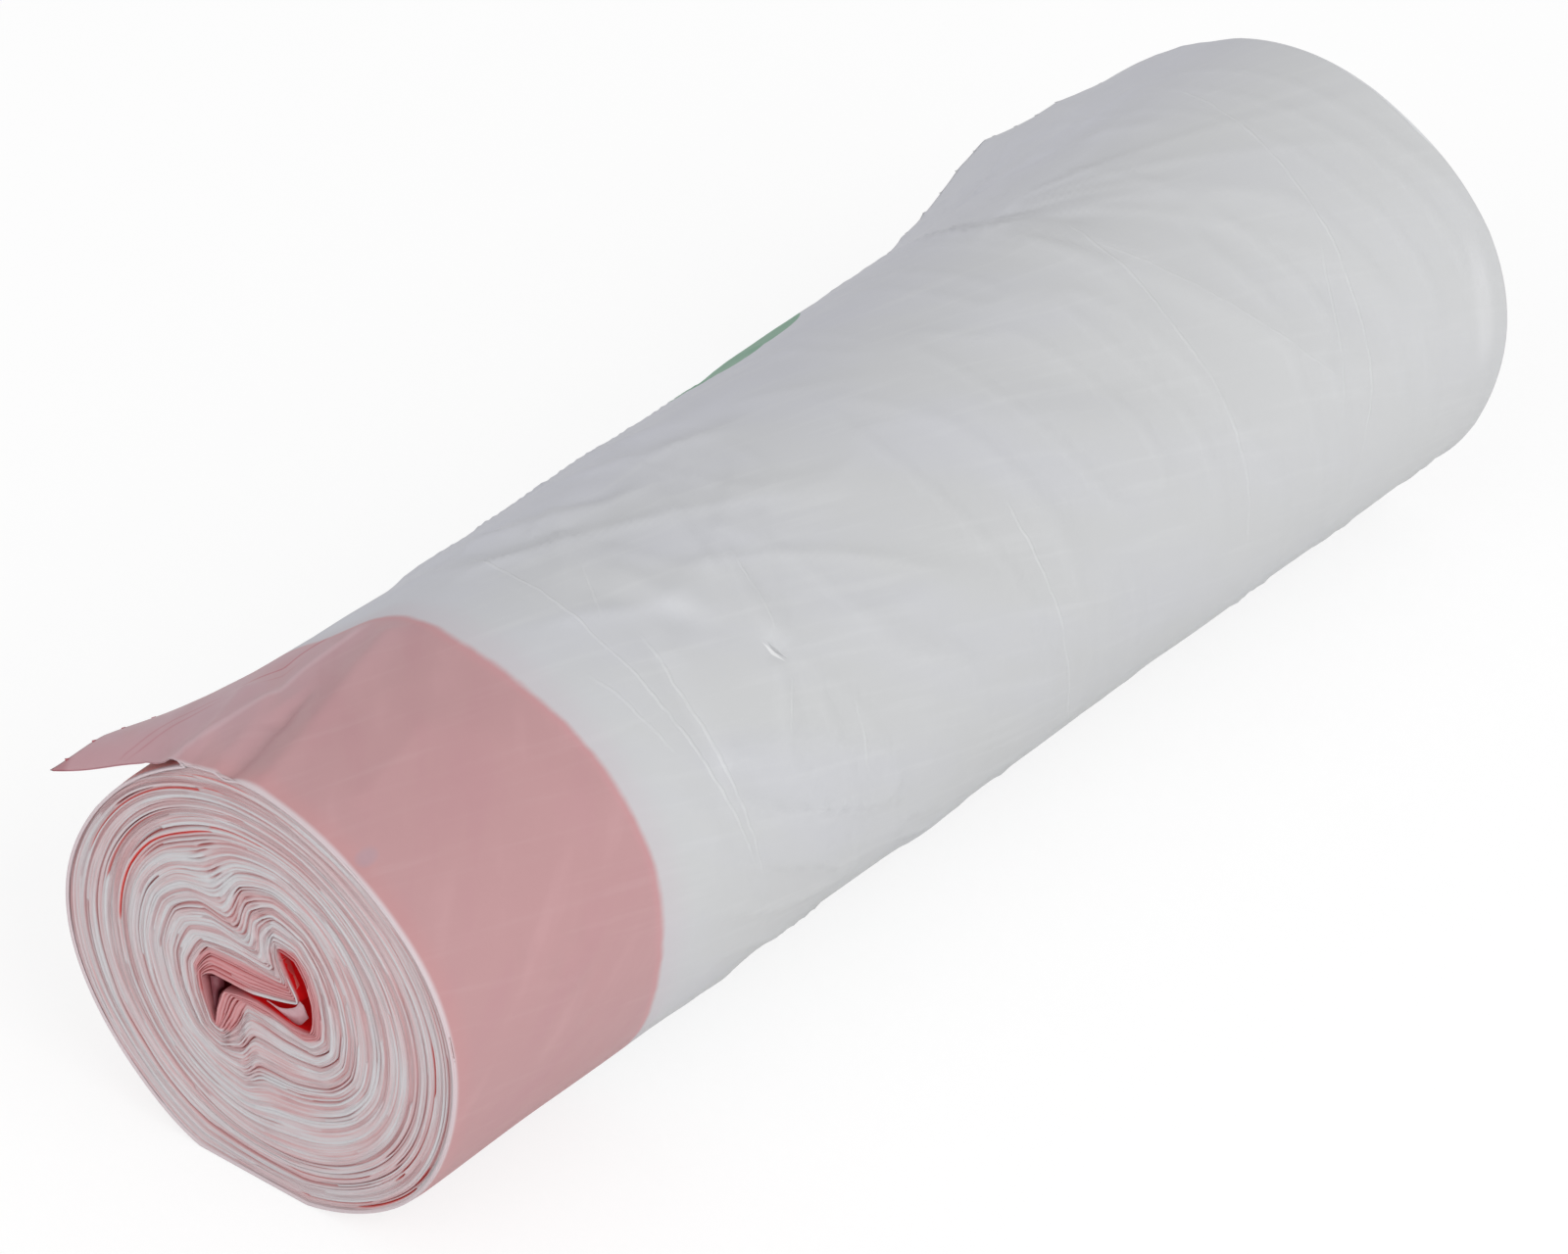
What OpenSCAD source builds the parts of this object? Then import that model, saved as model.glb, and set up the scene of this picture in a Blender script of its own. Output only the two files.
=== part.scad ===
// Roll of cat litter bags
// One long web of white film is wound up without a tube and has been squeezed, so its hollow is an S-shaped
// slit. A pink draw tape runs in the hem at one end and is wound in with the film. The loose end of the
// web lifts off the back of the roll.

/* [Roll] */
// Length of the roll
roll_length = 231; // [200:1:300]
// Width of the roll at its taped end
taped_end_width = 68; // [62:1:80]
// Height of the roll at its taped end
taped_end_height = 65.5; // [60:0.5:78]
// Width of the roll at its plain end
plain_end_width = 73.6; // [70:0.1:86]
// Width of the flat that the soft roll lies on
rest_width = 12; // [8:0.5:16]

/* [Turns] */
// Number of turns shown
turns = 12; // [8:1:12]
// Share of each turn that is film, and not the gap after it
film_share = 0.62; // [0.5:0.01:0.7]
// Depth of the gaps between the turns at the plain end
plain_gap_depth = 3; // [1:0.5:8]
// Depth below the outside down to which the turns lie round
round_depth = 8; // [6:0.5:10]

/* [Draw tape] */
// Width of the draw tape
tape_width = 39; // [25:1:60]
// Distance of the tape behind the edges of the film
tape_inset = 1; // [0.5:0.5:3]
// Clearance between the tape and the film
tape_clearance = 0.08; // [0.04:0.01:0.12]

/* [Loose end] */
// Direction from the middle of the roll to where the web leaves it, up from the right
loose_angle = 110; // [90:10:130]
// Length of the loose end
loose_length = 28; // [16:1:36]
// Thickness of the loose end
loose_thickness = 0.6; // [0.6:0.1:1]
// Thickness of the film under the tape in the loose end
hem_thickness = 0.25; // [0.2:0.05:0.3]
// Gap between the roll and the edge of the loose end where it lies down
loose_gap = 0.35; // [0.3:0.05:1]

/* [Hidden] */

film_color = [0.86, 0.87, 0.88];
tape_color = [0.85, 0.45, 0.47];

// Straight steps in each turn, and along the loose end
steps = 36;
loose_steps = 6;

// The web starts beside the hollow, and the tape lines the hollow for some steps before it
start_step = 8;
lining_steps = 16;
tape_start_step = start_step - lining_steps;
end_step = turns*steps + round(loose_angle*steps/360);

// The turn that each of the five forms below has, as a share of the outermost turn
form_turns = [0.05, 0.15, 0.38, 0.68, 1];
outermost_turn = end_step/steps + 1;

// The hollow, the first turns folded round it and the turns half way out, once round from the right and
// measured from the middle of the taped end
hollow_form = [
    [8.8, -1.3], [8.9, 1.1], [8, 4.3], [6.4, 6.9], [3.9, 7.4], [4.7, 4.9],
    [6.3, 1.4], [-1.5, -0.6], [-8.6, -1], [-10.8, -2.9], [-10.3, -5.7], [-9.2, -9.1],
    [-8.6, -9.7], [-8.2, -6.7], [-7.2, -3.5], [-1.5, -1.9], [5, -3], [8, -3]
];
core_form = [
    [10.7, -0.5], [10.1, 3.9], [8.8, 7.1], [6.6, 9.3], [3, 9.4], [2.9, 6.1],
    [4, 3.1], [-3, 3.1], [-9.2, 2.4], [-12, -1.7], [-11.6, -6.1], [-9.9, -10.3],
    [-7.2, -11.1], [-4.8, -7.9], [-2.6, -3.7], [3.5, -4.3], [8.4, -4.7], [10.6, -2.9]
];
middle_form = [
    [16.4, -0.5], [15.3, 5.5], [12.8, 10.5], [9.2, 14.5], [3.2, 16.7], [-2.4, 14.3],
    [-5, 8.9], [-10.5, 9.1], [-15.4, 5.9], [-17.7, -0.7], [-16.4, -7.1], [-13.2, -12.1],
    [-8.6, -15.1], [-3.6, -15.9], [-0.6, -13.5], [5.6, -12.9], [11.6, -10.7], [15.4, -6.5]
];

// How far the hollow and the turns round it lie above the middle
hollow_rise = 0.5;

// Swells and dents of the outside: direction, height and spread
swells = [
    [20, 1.4, 30], [60, -0.3, 20], [140, 0.3, 25], [178, 0.7, 20], [200, 3.4, 40], [248, 1.5, 20],
    [325, 0.4, 18]
];

// Spacing of the outer turns, and the clearances and the film under the loose tape as shares of it
spacing = round_depth/((1 - form_turns[3])*outermost_turn);
tape_gap = tape_clearance/spacing;
rest_gap = loose_gap/spacing;
hem_share = hem_thickness/spacing;

// The last turn still winds outwards from the bottom to where it ends, and the flat cuts a little off it
half_width = taped_end_width/2;
bottom_step = spacing*(loose_angle + 90)/360;
rest_drop = half_width - sqrt(half_width^2 - (rest_width/2)^2);
half_height = (taped_end_height + rest_drop + bottom_step)/2;
middle_height = taped_end_height - half_height;

// How far from the taped end the gap that holds the tape reaches
tape_end = tape_inset + tape_width;
taped_gap_depth = tape_end + loose_gap;

// Where the roll has how much of its growth from the taped end to the plain end
growth = [
    [0, 0], [taped_gap_depth, 0.42], [0.4*roll_length, 0.64], [0.6*roll_length, 0.75],
    [0.8*roll_length, 0.93], [roll_length, 1]
];

// How far the loose end stands off: 0 where it lies on the roll, 1 where it runs straight on
lift = [
    [0, 0.82], [0.25*tape_end, 0.7], [0.5*tape_end, 0.48], [0.75*tape_end, 0.25], [tape_end, 0.08],
    [0.25*roll_length, 0], [0.63*roll_length, 0], [0.7*roll_length, 0.1], [0.785*roll_length, 0.3],
    [0.87*roll_length, 0.63], [0.92*roll_length, 0.5], [roll_length, 0.4]
];
tape_stations = [for (share = [0, 0.25, 0.5, 0.75, 1]) tape_inset + share*tape_width];
hem_stations = concat([0], tape_stations, [taped_gap_depth]);
film_stations = concat(
    [taped_gap_depth],
    [for (share = [0.25, 0.4, 0.55, 0.64, 0.7, 0.74, 0.785, 0.83, 0.87, 0.92, 1]) share*roll_length]
);

function mix(a, b, share) = a + (b - a)*share;

// Smooth closed curve through the points, at one direction
function curve(points, angle) =
    let (count = len(points))
    let (place = once_round(angle)/360*count)
    let (i = floor(place))
    let (f = place - i)
    let (a = points[(i + count - 1) % count])
    let (b = points[i % count])
    let (c = points[(i + 1) % count])
    let (d = points[(i + 2) % count])
    b + f/2*(c - a + f*(2*a - 5*b + 4*c - d + f*(3*b - a - 3*c + d)));

// An angle brought to between 0 and 360
function once_round(angle) = angle - 360*floor(angle/360);

// Angle from a direction to another, at most half a turn either way
function turned_from(direction, angle) = once_round(angle - direction + 180) - 180;

// Share of the way from the round turns to the outside that a turn has
function outer_share(turn) = (turn/outermost_turn - form_turns[3])/(1 - form_turns[3]);

// Outside of the roll, low enough for its last turn to be flat where it lies on the surface
function outside(angle) =
    let (swell = [for (s = swells) s[1]*exp(-(turned_from(s[0], angle)/s[2])^2)]*[for (s = swells) 1])
    let (last_turn = outermost_turn - 1 + once_round(angle - loose_angle)/360)
    let (round_height = round_turn(angle).y)
    let (lowest = round_height - (middle_height + round_height)/outer_share(last_turn))
    [(half_width + swell)*cos(angle), max((half_height + swell)*sin(angle), lowest)];

function round_turn(angle) = [(half_width - round_depth)*cos(angle), (half_height - round_depth)*sin(angle)];

function form(k, angle) =
    k == 0 ? curve(hollow_form, angle) + [0, hollow_rise] :
    k == 1 ? curve(core_form, angle) + [0, hollow_rise] :
    k == 2 ? curve(middle_form, angle) + [0, hollow_rise] :
    k == 3 ? round_turn(angle) :
    outside(angle);

// Point of the end at a direction and a number of turns out from the start of the winding
function turn_point(angle, turn) =
    let (out = turn/outermost_turn)
    let (k = len([for (t = form_turns) if (t <= out) t]) - 1)
    let (inner = min(max(k, 0), len(form_turns) - 2))
    let (share = (out - form_turns[inner])/(form_turns[inner + 1] - form_turns[inner]))
    mix(form(inner, angle), form(inner + 1, angle), share);

// The same point at a distance from the taped end
function place(point, station) =
    let (size = mix(1, plain_end_width/taped_end_width, lookup(station, growth)))
    [point.x*size, station - roll_length/2, (point.y + middle_height)*size];

// Row of points along the winding, at a height within its turn
function wound(first, last, height, station) = [
    for (i = [first:last])
        place(turn_point(i*360/steps, i/steps + height), station)
];

// Point of the loose end at a step along it and a height above its lower side
function loose_point(k, above, station) =
    let (along = k/loose_steps)
    let (turned = along*loose_length/half_width*180/PI)
    let (base = end_step/steps)
    let (below = base + turned/360 + mix(film_share, rest_gap, 1 - (1 - along)^2))
    let (lying = turn_point(loose_angle + turned, below))
    let (root = turn_point(loose_angle, base + film_share))
    let (ahead = turn_point(loose_angle + 1, base + 1) - turn_point(loose_angle - 1, base + 1))
    let (straight = root + ahead/norm(ahead)*along*loose_length)
    let (raised = lookup(station, lift))
    let (facing = loose_angle + turned*(1 - raised))
    place(mix(lying, straight, raised) + above*[cos(facing), sin(facing)], station);

// Rows of the loose end that start at the given roots
function loose_rows(roots, above, stations) = [
    for (r = [0:len(stations) - 1]) [
        for (k = [0:loose_steps])
            k == 0 ? roots[r] : loose_point(k, above, stations[r])
    ]
];

function reversed(rows) = [for (r = [1:len(rows)]) rows[len(rows) - r]];

function free_edge(rows) = [for (row = rows) row[loose_steps]];

// A row as long as another one, which holds one point in its first half and a second point after that
function spread(first, second, row) = [for (k = [0:len(row) - 1]) k < (len(row) - 1)/2 ? first : second];

// Two rows as the columns of a grid
function side_by_side(first, second) = [for (k = [0:len(first) - 1]) [first[k], second[k]]];

// Faces of a grid of points, where a square may be closed to a triangle
function grid_faces(grid, first) =
    let (columns = len(grid[0]))
    [
        for (r = [0:len(grid) - 2], c = [0:columns - 2])
            let (corners = [[r, c], [r, c + 1], [r + 1, c + 1], [r + 1, c]])
            let (face = [
                for (k = [0:3])
                    let (a = corners[k])
                    let (b = corners[(k + 1) % 4])
                    if (grid[a[0]][a[1]] != grid[b[0]][b[1]]) first + a[0]*columns + a[1]
            ])
            if (len(face) > 2) face
    ];

// Closed solid whose skin is made of grids of points that meet edge to edge
module skin(grids) {
    points = [for (grid = grids, row = grid) each row];
    sizes = [for (grid = grids) len(grid)*len(grid[0])];
    firsts = [for (k = 0, sum = 0; k < len(grids); sum = sum + sizes[k], k = k + 1) sum];
    polyhedron(points, [for (k = [0:len(grids) - 1]) each grid_faces(grids[k], firsts[k])], convexity = 10);
}

module film_roll() {
    gap = taped_gap_depth;
    groove = roll_length - plain_gap_depth;
    mid_gap = (1 + film_share)/2;
    count = end_step - start_step;
    last_start = count - steps;
    function part(row, first, last) = [for (i = [first:last]) row[i]];
    function web_end_points(height, stations) = [
        for (s = stations) place(turn_point(loose_angle, end_step/steps + height), s)
    ];

    inner_deep = wound(start_step, end_step, 0, gap);
    inner_edge = wound(start_step, end_step, 0, 0);
    outer_edge = wound(start_step, end_step, film_share, 0);
    outer_deep = wound(start_step, end_step, film_share, gap);
    plain_inner = wound(start_step, end_step, 0, roll_length);
    plain_outer = wound(start_step, end_step, film_share, roll_length);
    plain_groove = wound(start_step, end_step - steps, mid_gap, groove);
    skins = [for (s = film_stations) wound(end_step - steps, end_step, 1, s)];

    // The loose end is whole beyond the tape, and a thin hem under the tape
    hem_lower_root = web_end_points(film_share - hem_share, hem_stations);
    hem_upper_root = web_end_points(film_share, hem_stations);
    hem_lower = loose_rows(hem_lower_root, 0, hem_stations);
    hem_upper = loose_rows(hem_upper_root, hem_thickness, hem_stations);
    last_hem = len(hem_stations) - 1;
    whole_stations = part(film_stations, 1, len(film_stations) - 1);
    whole_root = web_end_points(film_share, whole_stations);
    whole_lower = loose_rows(whole_root, 0, whole_stations);
    whole_upper = loose_rows([for (row = skins) row[steps]], loose_thickness, film_stations);
    last_whole = len(film_stations) - 1;

    taped_end = [
        [inner_deep, inner_edge],
        [part(inner_edge, 0, count - 1), part(outer_edge, 0, count - 1)],
        [part(outer_edge, 0, count - 1), part(outer_deep, 0, count - 1)],
        [part(outer_deep, 0, last_start), part(inner_deep, steps, count)],
        [part(outer_deep, last_start, count), skins[0]]
    ];
    // The last step of the web at the taped end spreads to the points of the hem
    last_step = [
        [
            [inner_edge[count - 1], inner_edge[count]],
            [inner_edge[count - 1], hem_lower_root[0]],
            [outer_edge[count - 1], hem_upper_root[0]]
        ],
        side_by_side(spread(outer_edge[count - 1], outer_deep[count - 1], hem_stations), hem_upper_root)
    ];
    plain_end = [
        [plain_outer, plain_inner],
        [part(plain_inner, steps, count), plain_groove],
        [plain_groove, part(plain_outer, 0, last_start)],
        [skins[last_whole], part(plain_outer, last_start, count)]
    ];
    hollow = [[part(plain_inner, 0, steps), part(inner_deep, 0, steps)]];
    web_start = [
        [[inner_edge[0], outer_edge[0]], [inner_deep[0], outer_deep[0]]],
        [
            [inner_deep[0], outer_deep[0], outer_deep[0], inner_deep[steps]],
            [plain_inner[0], plain_outer[0], plain_groove[0], plain_inner[steps]]
        ]
    ];
    web_end = [
        [spread(inner_edge[count], inner_deep[count], hem_stations), hem_lower_root],
        [[for (row = skins) row[0]], concat([hem_lower_root[last_hem]], whole_root)],
        [
            [plain_groove[last_start], plain_groove[last_start]],
            [plain_outer[last_start], plain_inner[count]]
        ]
    ];
    loose_end = [
        hem_upper,
        whole_upper,
        reversed(concat(hem_lower, whole_lower)),
        [hem_lower[0], hem_upper[0]],
        [hem_upper[last_hem], whole_upper[0]],
        [whole_upper[last_whole], whole_lower[last_whole - 1]],
        [free_edge(hem_lower), free_edge(hem_upper)],
        side_by_side(
            free_edge([hem_lower[last_hem], hem_upper[last_hem], whole_upper[0]]),
            free_edge([whole_lower[0], whole_upper[1], whole_upper[1]])
        ),
        [free_edge(whole_lower), part(free_edge(whole_upper), 1, last_whole)]
    ];
    color(film_color)
    skin(concat(taped_end, last_step, plain_end, hollow, web_start, web_end, [skins], loose_end));
}

module draw_tape() {
    low = film_share + tape_gap;
    high = 1 - tape_gap;
    last = len(tape_stations) - 1;
    count = end_step - tape_start_step;
    function part(row) = [for (i = [0:count - 1]) row[i]];
    function root(height) = [
        for (s = tape_stations) place(turn_point(loose_angle, end_step/steps + height), s)
    ];

    near_low = wound(tape_start_step, end_step, low, tape_inset);
    near_high = wound(tape_start_step, end_step, high, tape_inset);
    far_low = wound(tape_start_step, end_step, low, tape_end);
    far_high = wound(tape_start_step, end_step, high, tape_end);
    winding = [
        [near_low, near_high],
        [part(near_high), part(far_high)],
        [far_high, far_low],
        [part(far_low), part(near_low)],
        [[near_low[0], near_high[0]], [far_low[0], far_high[0]]]
    ];

    // The loose end lies on the hem, and the last step of the winding spreads to its stations
    lower = loose_rows(root(low), hem_thickness + tape_clearance, tape_stations);
    upper = loose_rows(root(high), loose_thickness, tape_stations);
    last_step = [
        side_by_side(spread(near_high[count - 1], far_high[count - 1], tape_stations), root(high)),
        reversed(side_by_side(spread(near_low[count - 1], far_low[count - 1], tape_stations), root(low)))
    ];
    loose_end = [
        upper,
        reversed(lower),
        [lower[0], upper[0]],
        [upper[last], lower[last]],
        [free_edge(lower), free_edge(upper)]
    ];
    color(tape_color)
    skin(concat(winding, last_step, loose_end));
}

film_roll();
draw_tape();
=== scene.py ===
"""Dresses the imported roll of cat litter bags: wrinkled film cover, fine turns at both ends, lined hollow."""

import math

import bmesh
import bpy
import numpy as np
from bpy.props import FloatProperty, FloatVectorProperty, IntProperty, PointerProperty
from bpy.types import Operator, Panel, PropertyGroup
from mathutils import Matrix, Vector


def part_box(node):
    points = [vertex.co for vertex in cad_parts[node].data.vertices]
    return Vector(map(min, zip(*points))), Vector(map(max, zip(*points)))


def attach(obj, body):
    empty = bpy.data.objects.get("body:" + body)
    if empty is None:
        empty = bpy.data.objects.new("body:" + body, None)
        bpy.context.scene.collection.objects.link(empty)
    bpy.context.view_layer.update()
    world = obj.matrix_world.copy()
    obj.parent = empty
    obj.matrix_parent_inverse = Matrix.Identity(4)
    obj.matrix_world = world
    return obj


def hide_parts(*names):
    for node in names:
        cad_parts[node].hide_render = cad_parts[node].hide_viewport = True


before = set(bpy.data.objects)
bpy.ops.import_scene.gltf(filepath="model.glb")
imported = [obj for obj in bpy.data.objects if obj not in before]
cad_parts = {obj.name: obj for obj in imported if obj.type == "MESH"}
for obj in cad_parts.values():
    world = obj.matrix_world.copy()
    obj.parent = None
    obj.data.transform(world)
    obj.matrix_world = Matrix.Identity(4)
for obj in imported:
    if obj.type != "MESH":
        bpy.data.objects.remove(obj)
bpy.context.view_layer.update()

bl_info = {
    "name": "Roll of litter bags",
    "version": (1, 0, 0),
    "blender": (4, 5, 0),
    "location": "View3D > Sidebar > Roll",
    "description": "Film cover, turns, hollow and stage round the solids of a roll of litter bags",
    "category": "Add Mesh",
}

MM = 0.001

# Sizes of the solids, in millimetres and degrees
FILM_LOW, FILM_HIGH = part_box("film_roll")
ROLL_LENGTH = (FILM_HIGH.y - FILM_LOW.y)/MM
TAPED_END_WIDTH = 68
TAPED_END_HEIGHT = 65.5
PLAIN_END_WIDTH = 73.6
REST_WIDTH = 12
TURNS = 12
FILM_SHARE = 0.62
ROUND_DEPTH = 8
TAPE_END = 40
TAPED_GAP_DEPTH = 40.35
LOOSE_ANGLE = 110
LOOSE_LENGTH = 28
LOOSE_GAP = 0.35
LOOSE_TOP = 0.6
START_ANGLE = 80
END_ANGLE = TURNS*360 + LOOSE_ANGLE
OUTERMOST_TURN = END_ANGLE/360 + 1
FORM_TURNS = [0.05, 0.15, 0.38, 0.68, 1]

# Forms of the hollow and of the turns round it, once round from the right, from the middle of the taped end
HOLLOW_FORM = [
    (8.8, -1.3), (8.9, 1.1), (8, 4.3), (6.4, 6.9), (3.9, 7.4), (4.7, 4.9),
    (6.3, 1.4), (-1.5, -0.6), (-8.6, -1), (-10.8, -2.9), (-10.3, -5.7), (-9.2, -9.1),
    (-8.6, -9.7), (-8.2, -6.7), (-7.2, -3.5), (-1.5, -1.9), (5, -3), (8, -3),
]
CORE_FORM = [
    (10.7, -0.5), (10.1, 3.9), (8.8, 7.1), (6.6, 9.3), (3, 9.4), (2.9, 6.1),
    (4, 3.1), (-3, 3.1), (-9.2, 2.4), (-12, -1.7), (-11.6, -6.1), (-9.9, -10.3),
    (-7.2, -11.1), (-4.8, -7.9), (-2.6, -3.7), (3.5, -4.3), (8.4, -4.7), (10.6, -2.9),
]
MIDDLE_FORM = [
    (16.4, -0.5), (15.3, 5.5), (12.8, 10.5), (9.2, 14.5), (3.2, 16.7), (-2.4, 14.3),
    (-5, 8.9), (-10.5, 9.1), (-15.4, 5.9), (-17.7, -0.7), (-16.4, -7.1), (-13.2, -12.1),
    (-8.6, -15.1), (-3.6, -15.9), (-0.6, -13.5), (5.6, -12.9), (11.6, -10.7), (15.4, -6.5),
]

# How far the hollow and the turns round it lie above the middle, and how sharply their folds turn
HOLLOW_RISE = 0.5
FOLD_SHARPNESS = (0.6, 0.55, 0.3)

# Swells and dents of the outside: direction, height and spread
SWELLS = [
    (20, 1.4, 30), (60, -0.3, 20), (140, 0.3, 25), (178, 0.7, 20), (200, 3.4, 40), (248, 1.5, 20),
    (325, 0.4, 18),
]

# How slack the cover is between the ends, where it is not held tight: direction, depth and spread
SLACK = [(148, 0.95, 45), (317, 0.35, 30)]

# Oval print, small tear and smudge near the rim: direction and distance from the taped end
PRINT_AT = (139.2, 125.5)
TEAR_AT = (44, 75)
SMUDGE_AT = (59, 3.4)

# Half width and half length of the print
PRINT_HALF_SIZE = (9.9, 16)

# How much earlier the tape ends on the loose end
TAPE_STEP = 6

# Angle over which the last plies thin out under the loose end
WEDGE_ANGLE = 36

# Thickness of a fold of the web inside the hollow
FOLD_THICKNESS = 0.12

# Sizes that follow from those above
SPACING = ROUND_DEPTH/((1 - FORM_TURNS[3])*OUTERMOST_TURN)
HALF_WIDTH = TAPED_END_WIDTH/2
ARC_OF_DEGREE = math.pi/180*HALF_WIDTH
BOTTOM_STEP = SPACING*(LOOSE_ANGLE + 90)/360
REST_DROP = HALF_WIDTH - math.sqrt(HALF_WIDTH**2 - (REST_WIDTH/2)**2)
HALF_HEIGHT = (TAPED_END_HEIGHT + REST_DROP + BOTTOM_STEP)/2
MIDDLE_HEIGHT = TAPED_END_HEIGHT - HALF_HEIGHT

# How much of its growth the roll has, and how far the loose end stands off, at distances from the taped end
GROWTH = [
    (0, 0), (TAPED_GAP_DEPTH, 0.42), (0.4*ROLL_LENGTH, 0.64), (0.6*ROLL_LENGTH, 0.75),
    (0.8*ROLL_LENGTH, 0.93), (ROLL_LENGTH, 1),
]
LIFT = [
    (0, 0.82), (0.25*TAPE_END, 0.7), (0.5*TAPE_END, 0.48), (0.75*TAPE_END, 0.25), (TAPE_END, 0.08),
    (0.25*ROLL_LENGTH, 0), (0.63*ROLL_LENGTH, 0), (0.7*ROLL_LENGTH, 0.1), (0.785*ROLL_LENGTH, 0.3),
    (0.87*ROLL_LENGTH, 0.63), (0.92*ROLL_LENGTH, 0.5), (ROLL_LENGTH, 0.4),
]

# Gathers of the film: direction and distance from the taped end of their focus, reach, height, number of
# folds round the focus, and the middle and half width of the fan in which they show, in degrees
GATHERS = [
    (118, 158, 42, 0.6, 30, -20, 75),
    (104, -4, 14, 0.5, 17, 60, 110),
    (44, 75, 8, 0.25, 11, 0, 180),
    (104, 62, 22, 0.3, 15, -40, 80),
    (-8, 92, 20, 0.2, 11, 120, 90),
]

# Folds of the film: height, half width and their course, as directions and distances from the taped end
FOLDS = [
    (0.55, 1.6, [(100, 92), (84, 85), (68, 80), (48, 76)]),
    (0.4, 1.3, [(118, 90), (92, 82), (78, 78), (67, 76)]),
    (-0.45, 2.2, [(92, 88), (74, 82), (60, 79)]),
    (0.35, 1.2, [(70, 88), (58, 82), (48, 78)]),
    (-0.35, 2.6, [(112, 82), (96, 74), (84, 66)]),
    (0.3, 1.8, [(120, 76), (104, 70), (88, 60)]),
    (0.22, 1.4, [(126, 90), (106, 98)]),
    (0.4, 1.5, [(124, 58), (113, 64), (104, 70), (96, 80)]),
    (-0.35, 2.0, [(122, 65), (110, 71), (101, 78)]),
    (0.4, 1.5, [(124, 80), (114, 83), (104, 88), (96, 98)]),
    (0.3, 1.3, [(122, 50), (110, 53), (98, 60)]),
    (-0.3, 1.8, [(120, 56), (108, 60), (98, 68)]),
    (0.25, 1.4, [(40, 74), (26, 69)]),
    (-0.35, 2.4, [(66, 60), (46, 57), (27, 56)]),
    (0.3, 1.8, [(120, 173), (106, 177), (94, 190)]),
    (0.3, 1.6, [(103, 162), (98, 168), (90, 176)]),
    (0.35, 2.0, [(134, 182), (120, 192), (102, 200)]),
    (-0.45, 3.2, [(134, 166), (114, 167), (92, 173)]),
    (0.4, 2.6, [(132, 161), (112, 161), (88, 164), (70, 167)]),
    (0.22, 2.2, [(82, 169), (61, 174), (38, 182), (20, 191)]),
    (-0.3, 6.0, [(72, 184), (50, 190), (24, 204)]),
    (-0.4, 5.0, [(62, 142), (54, 146), (44, 160)]),
    (0.3, 4.5, [(60, 130), (42, 150)]),
    (0.3, 3.2, [(30, 228), (14, 227), (0, 226)]),
    (0.4, 2.4, [(96, 100), (84, 92), (74, 82), (66, 70)]),
    (-0.4, 2.8, [(104, 104), (90, 96), (80, 86), (70, 74)]),
    (0.35, 2.2, [(84, 66), (72, 66), (60, 70)]),
    (-0.35, 2.6, [(80, 60), (66, 64), (56, 70)]),
    (-1.3, 1.8, [(97, 1), (99, 7), (103, 14), (106, 20)]),
    (-0.6, 2.2, [(103, 14), (112, 20), (126, 28)]),
    (0.7, 2.4, [(112, -3), (113, 5), (117, 13), (124, 20)]),
    (0.8, 2.0, [(88, 2), (92, 12), (98, 24), (104, 36)]),
    (0.35, 1.4, [(100, -1), (104, 8), (112, 18)]),
    (0.35, 1.3, [(112.5, 3), (113, 14), (113, 36)]),
    (0.35, 2.0, [(76, 24), (73, 17), (71, 10)]),
    (0.25, 5.0, [(98, 30), (84, 24), (60, 32), (40, 36)]),
    (-0.25, 5.0, [(88, 36), (66, 40), (40, 28)]),
]

# Small dents: direction, distance from the taped end, radius and depth
DENTS = [
    (22, 18, 2.0, 0.35), (14, 22, 1.6, 0.3), (5, 26, 2.2, 0.35), (18, 27, 1.4, 0.25), (-6, 26, 1.4, 0.2),
    (25, 36, 1.6, 0.15), (44, 75, 1.3, 0.5), (62, 66, 2.2, 0.3), (56, 61, 1.8, -0.25),
    (58, 2, 2.4, 0.25), (70, 52, 5, 0.3), (30, 205, 9, 0.5),
    (150, -1, 12, 1.2), (138, 177, 18, 0.8), (-222, 177, 18, 0.8),
    (52, 150, 9, 0.35), (-20, 150, 12, 0.4), (240, 90, 16, 0.5), (200, 170, 18, 0.6), (300, 60, 9, 0.3),
]

# Thin creases across the film: direction and distance from the taped end of three points, strength
CREASES = [
    ((44, 123), (8, 124.5), (-28, 132), 0.8),
    ((108, 212), (52, 203), (-4, 195), 0.8),
    ((50, 200.5), (31, 194), (10, 189.5), 0.6),
    ((91, 170), (50, 167.5), (-7, 168), 0.7),
    ((28, 83), (17, 82), (6, 82), 0.7),
    ((114, 57), (60, 54), (4, 58), 0.9),
    ((66, 48), (52, 50), (36, 52), 0.5),
    ((90, 65), (80, 60), (70, 56), 0.6),
    ((68, 80), (57, 78.5), (46, 76), 1.0),
    ((66, 60), (32, 57.5), (-1, 60), 0.8),
    ((82, 169), (50, 178), (20, 191), 0.35),
    ((26, 69), (32, 72), (40, 75), 0.8),
    ((205, 90), (180, 84), (150, 88), 0.6),
    ((290, 140), (250, 146), (215, 141), 0.6),
]

# Red creases of the tape on the loose end: direction and distance from the taped end of three points, and
# strength
TAPE_LINES = [
    ((134, 0), (134.5, 9), (129, 20), 0.4),
    ((130.5, 0), (130, 10), (127.5, 18), 0.4),
    ((129.5, 20), (126, 28), (120, 38), 0.75),
    ((124, 21), (121.5, 25), (119, 29), 0.3),
]

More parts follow.
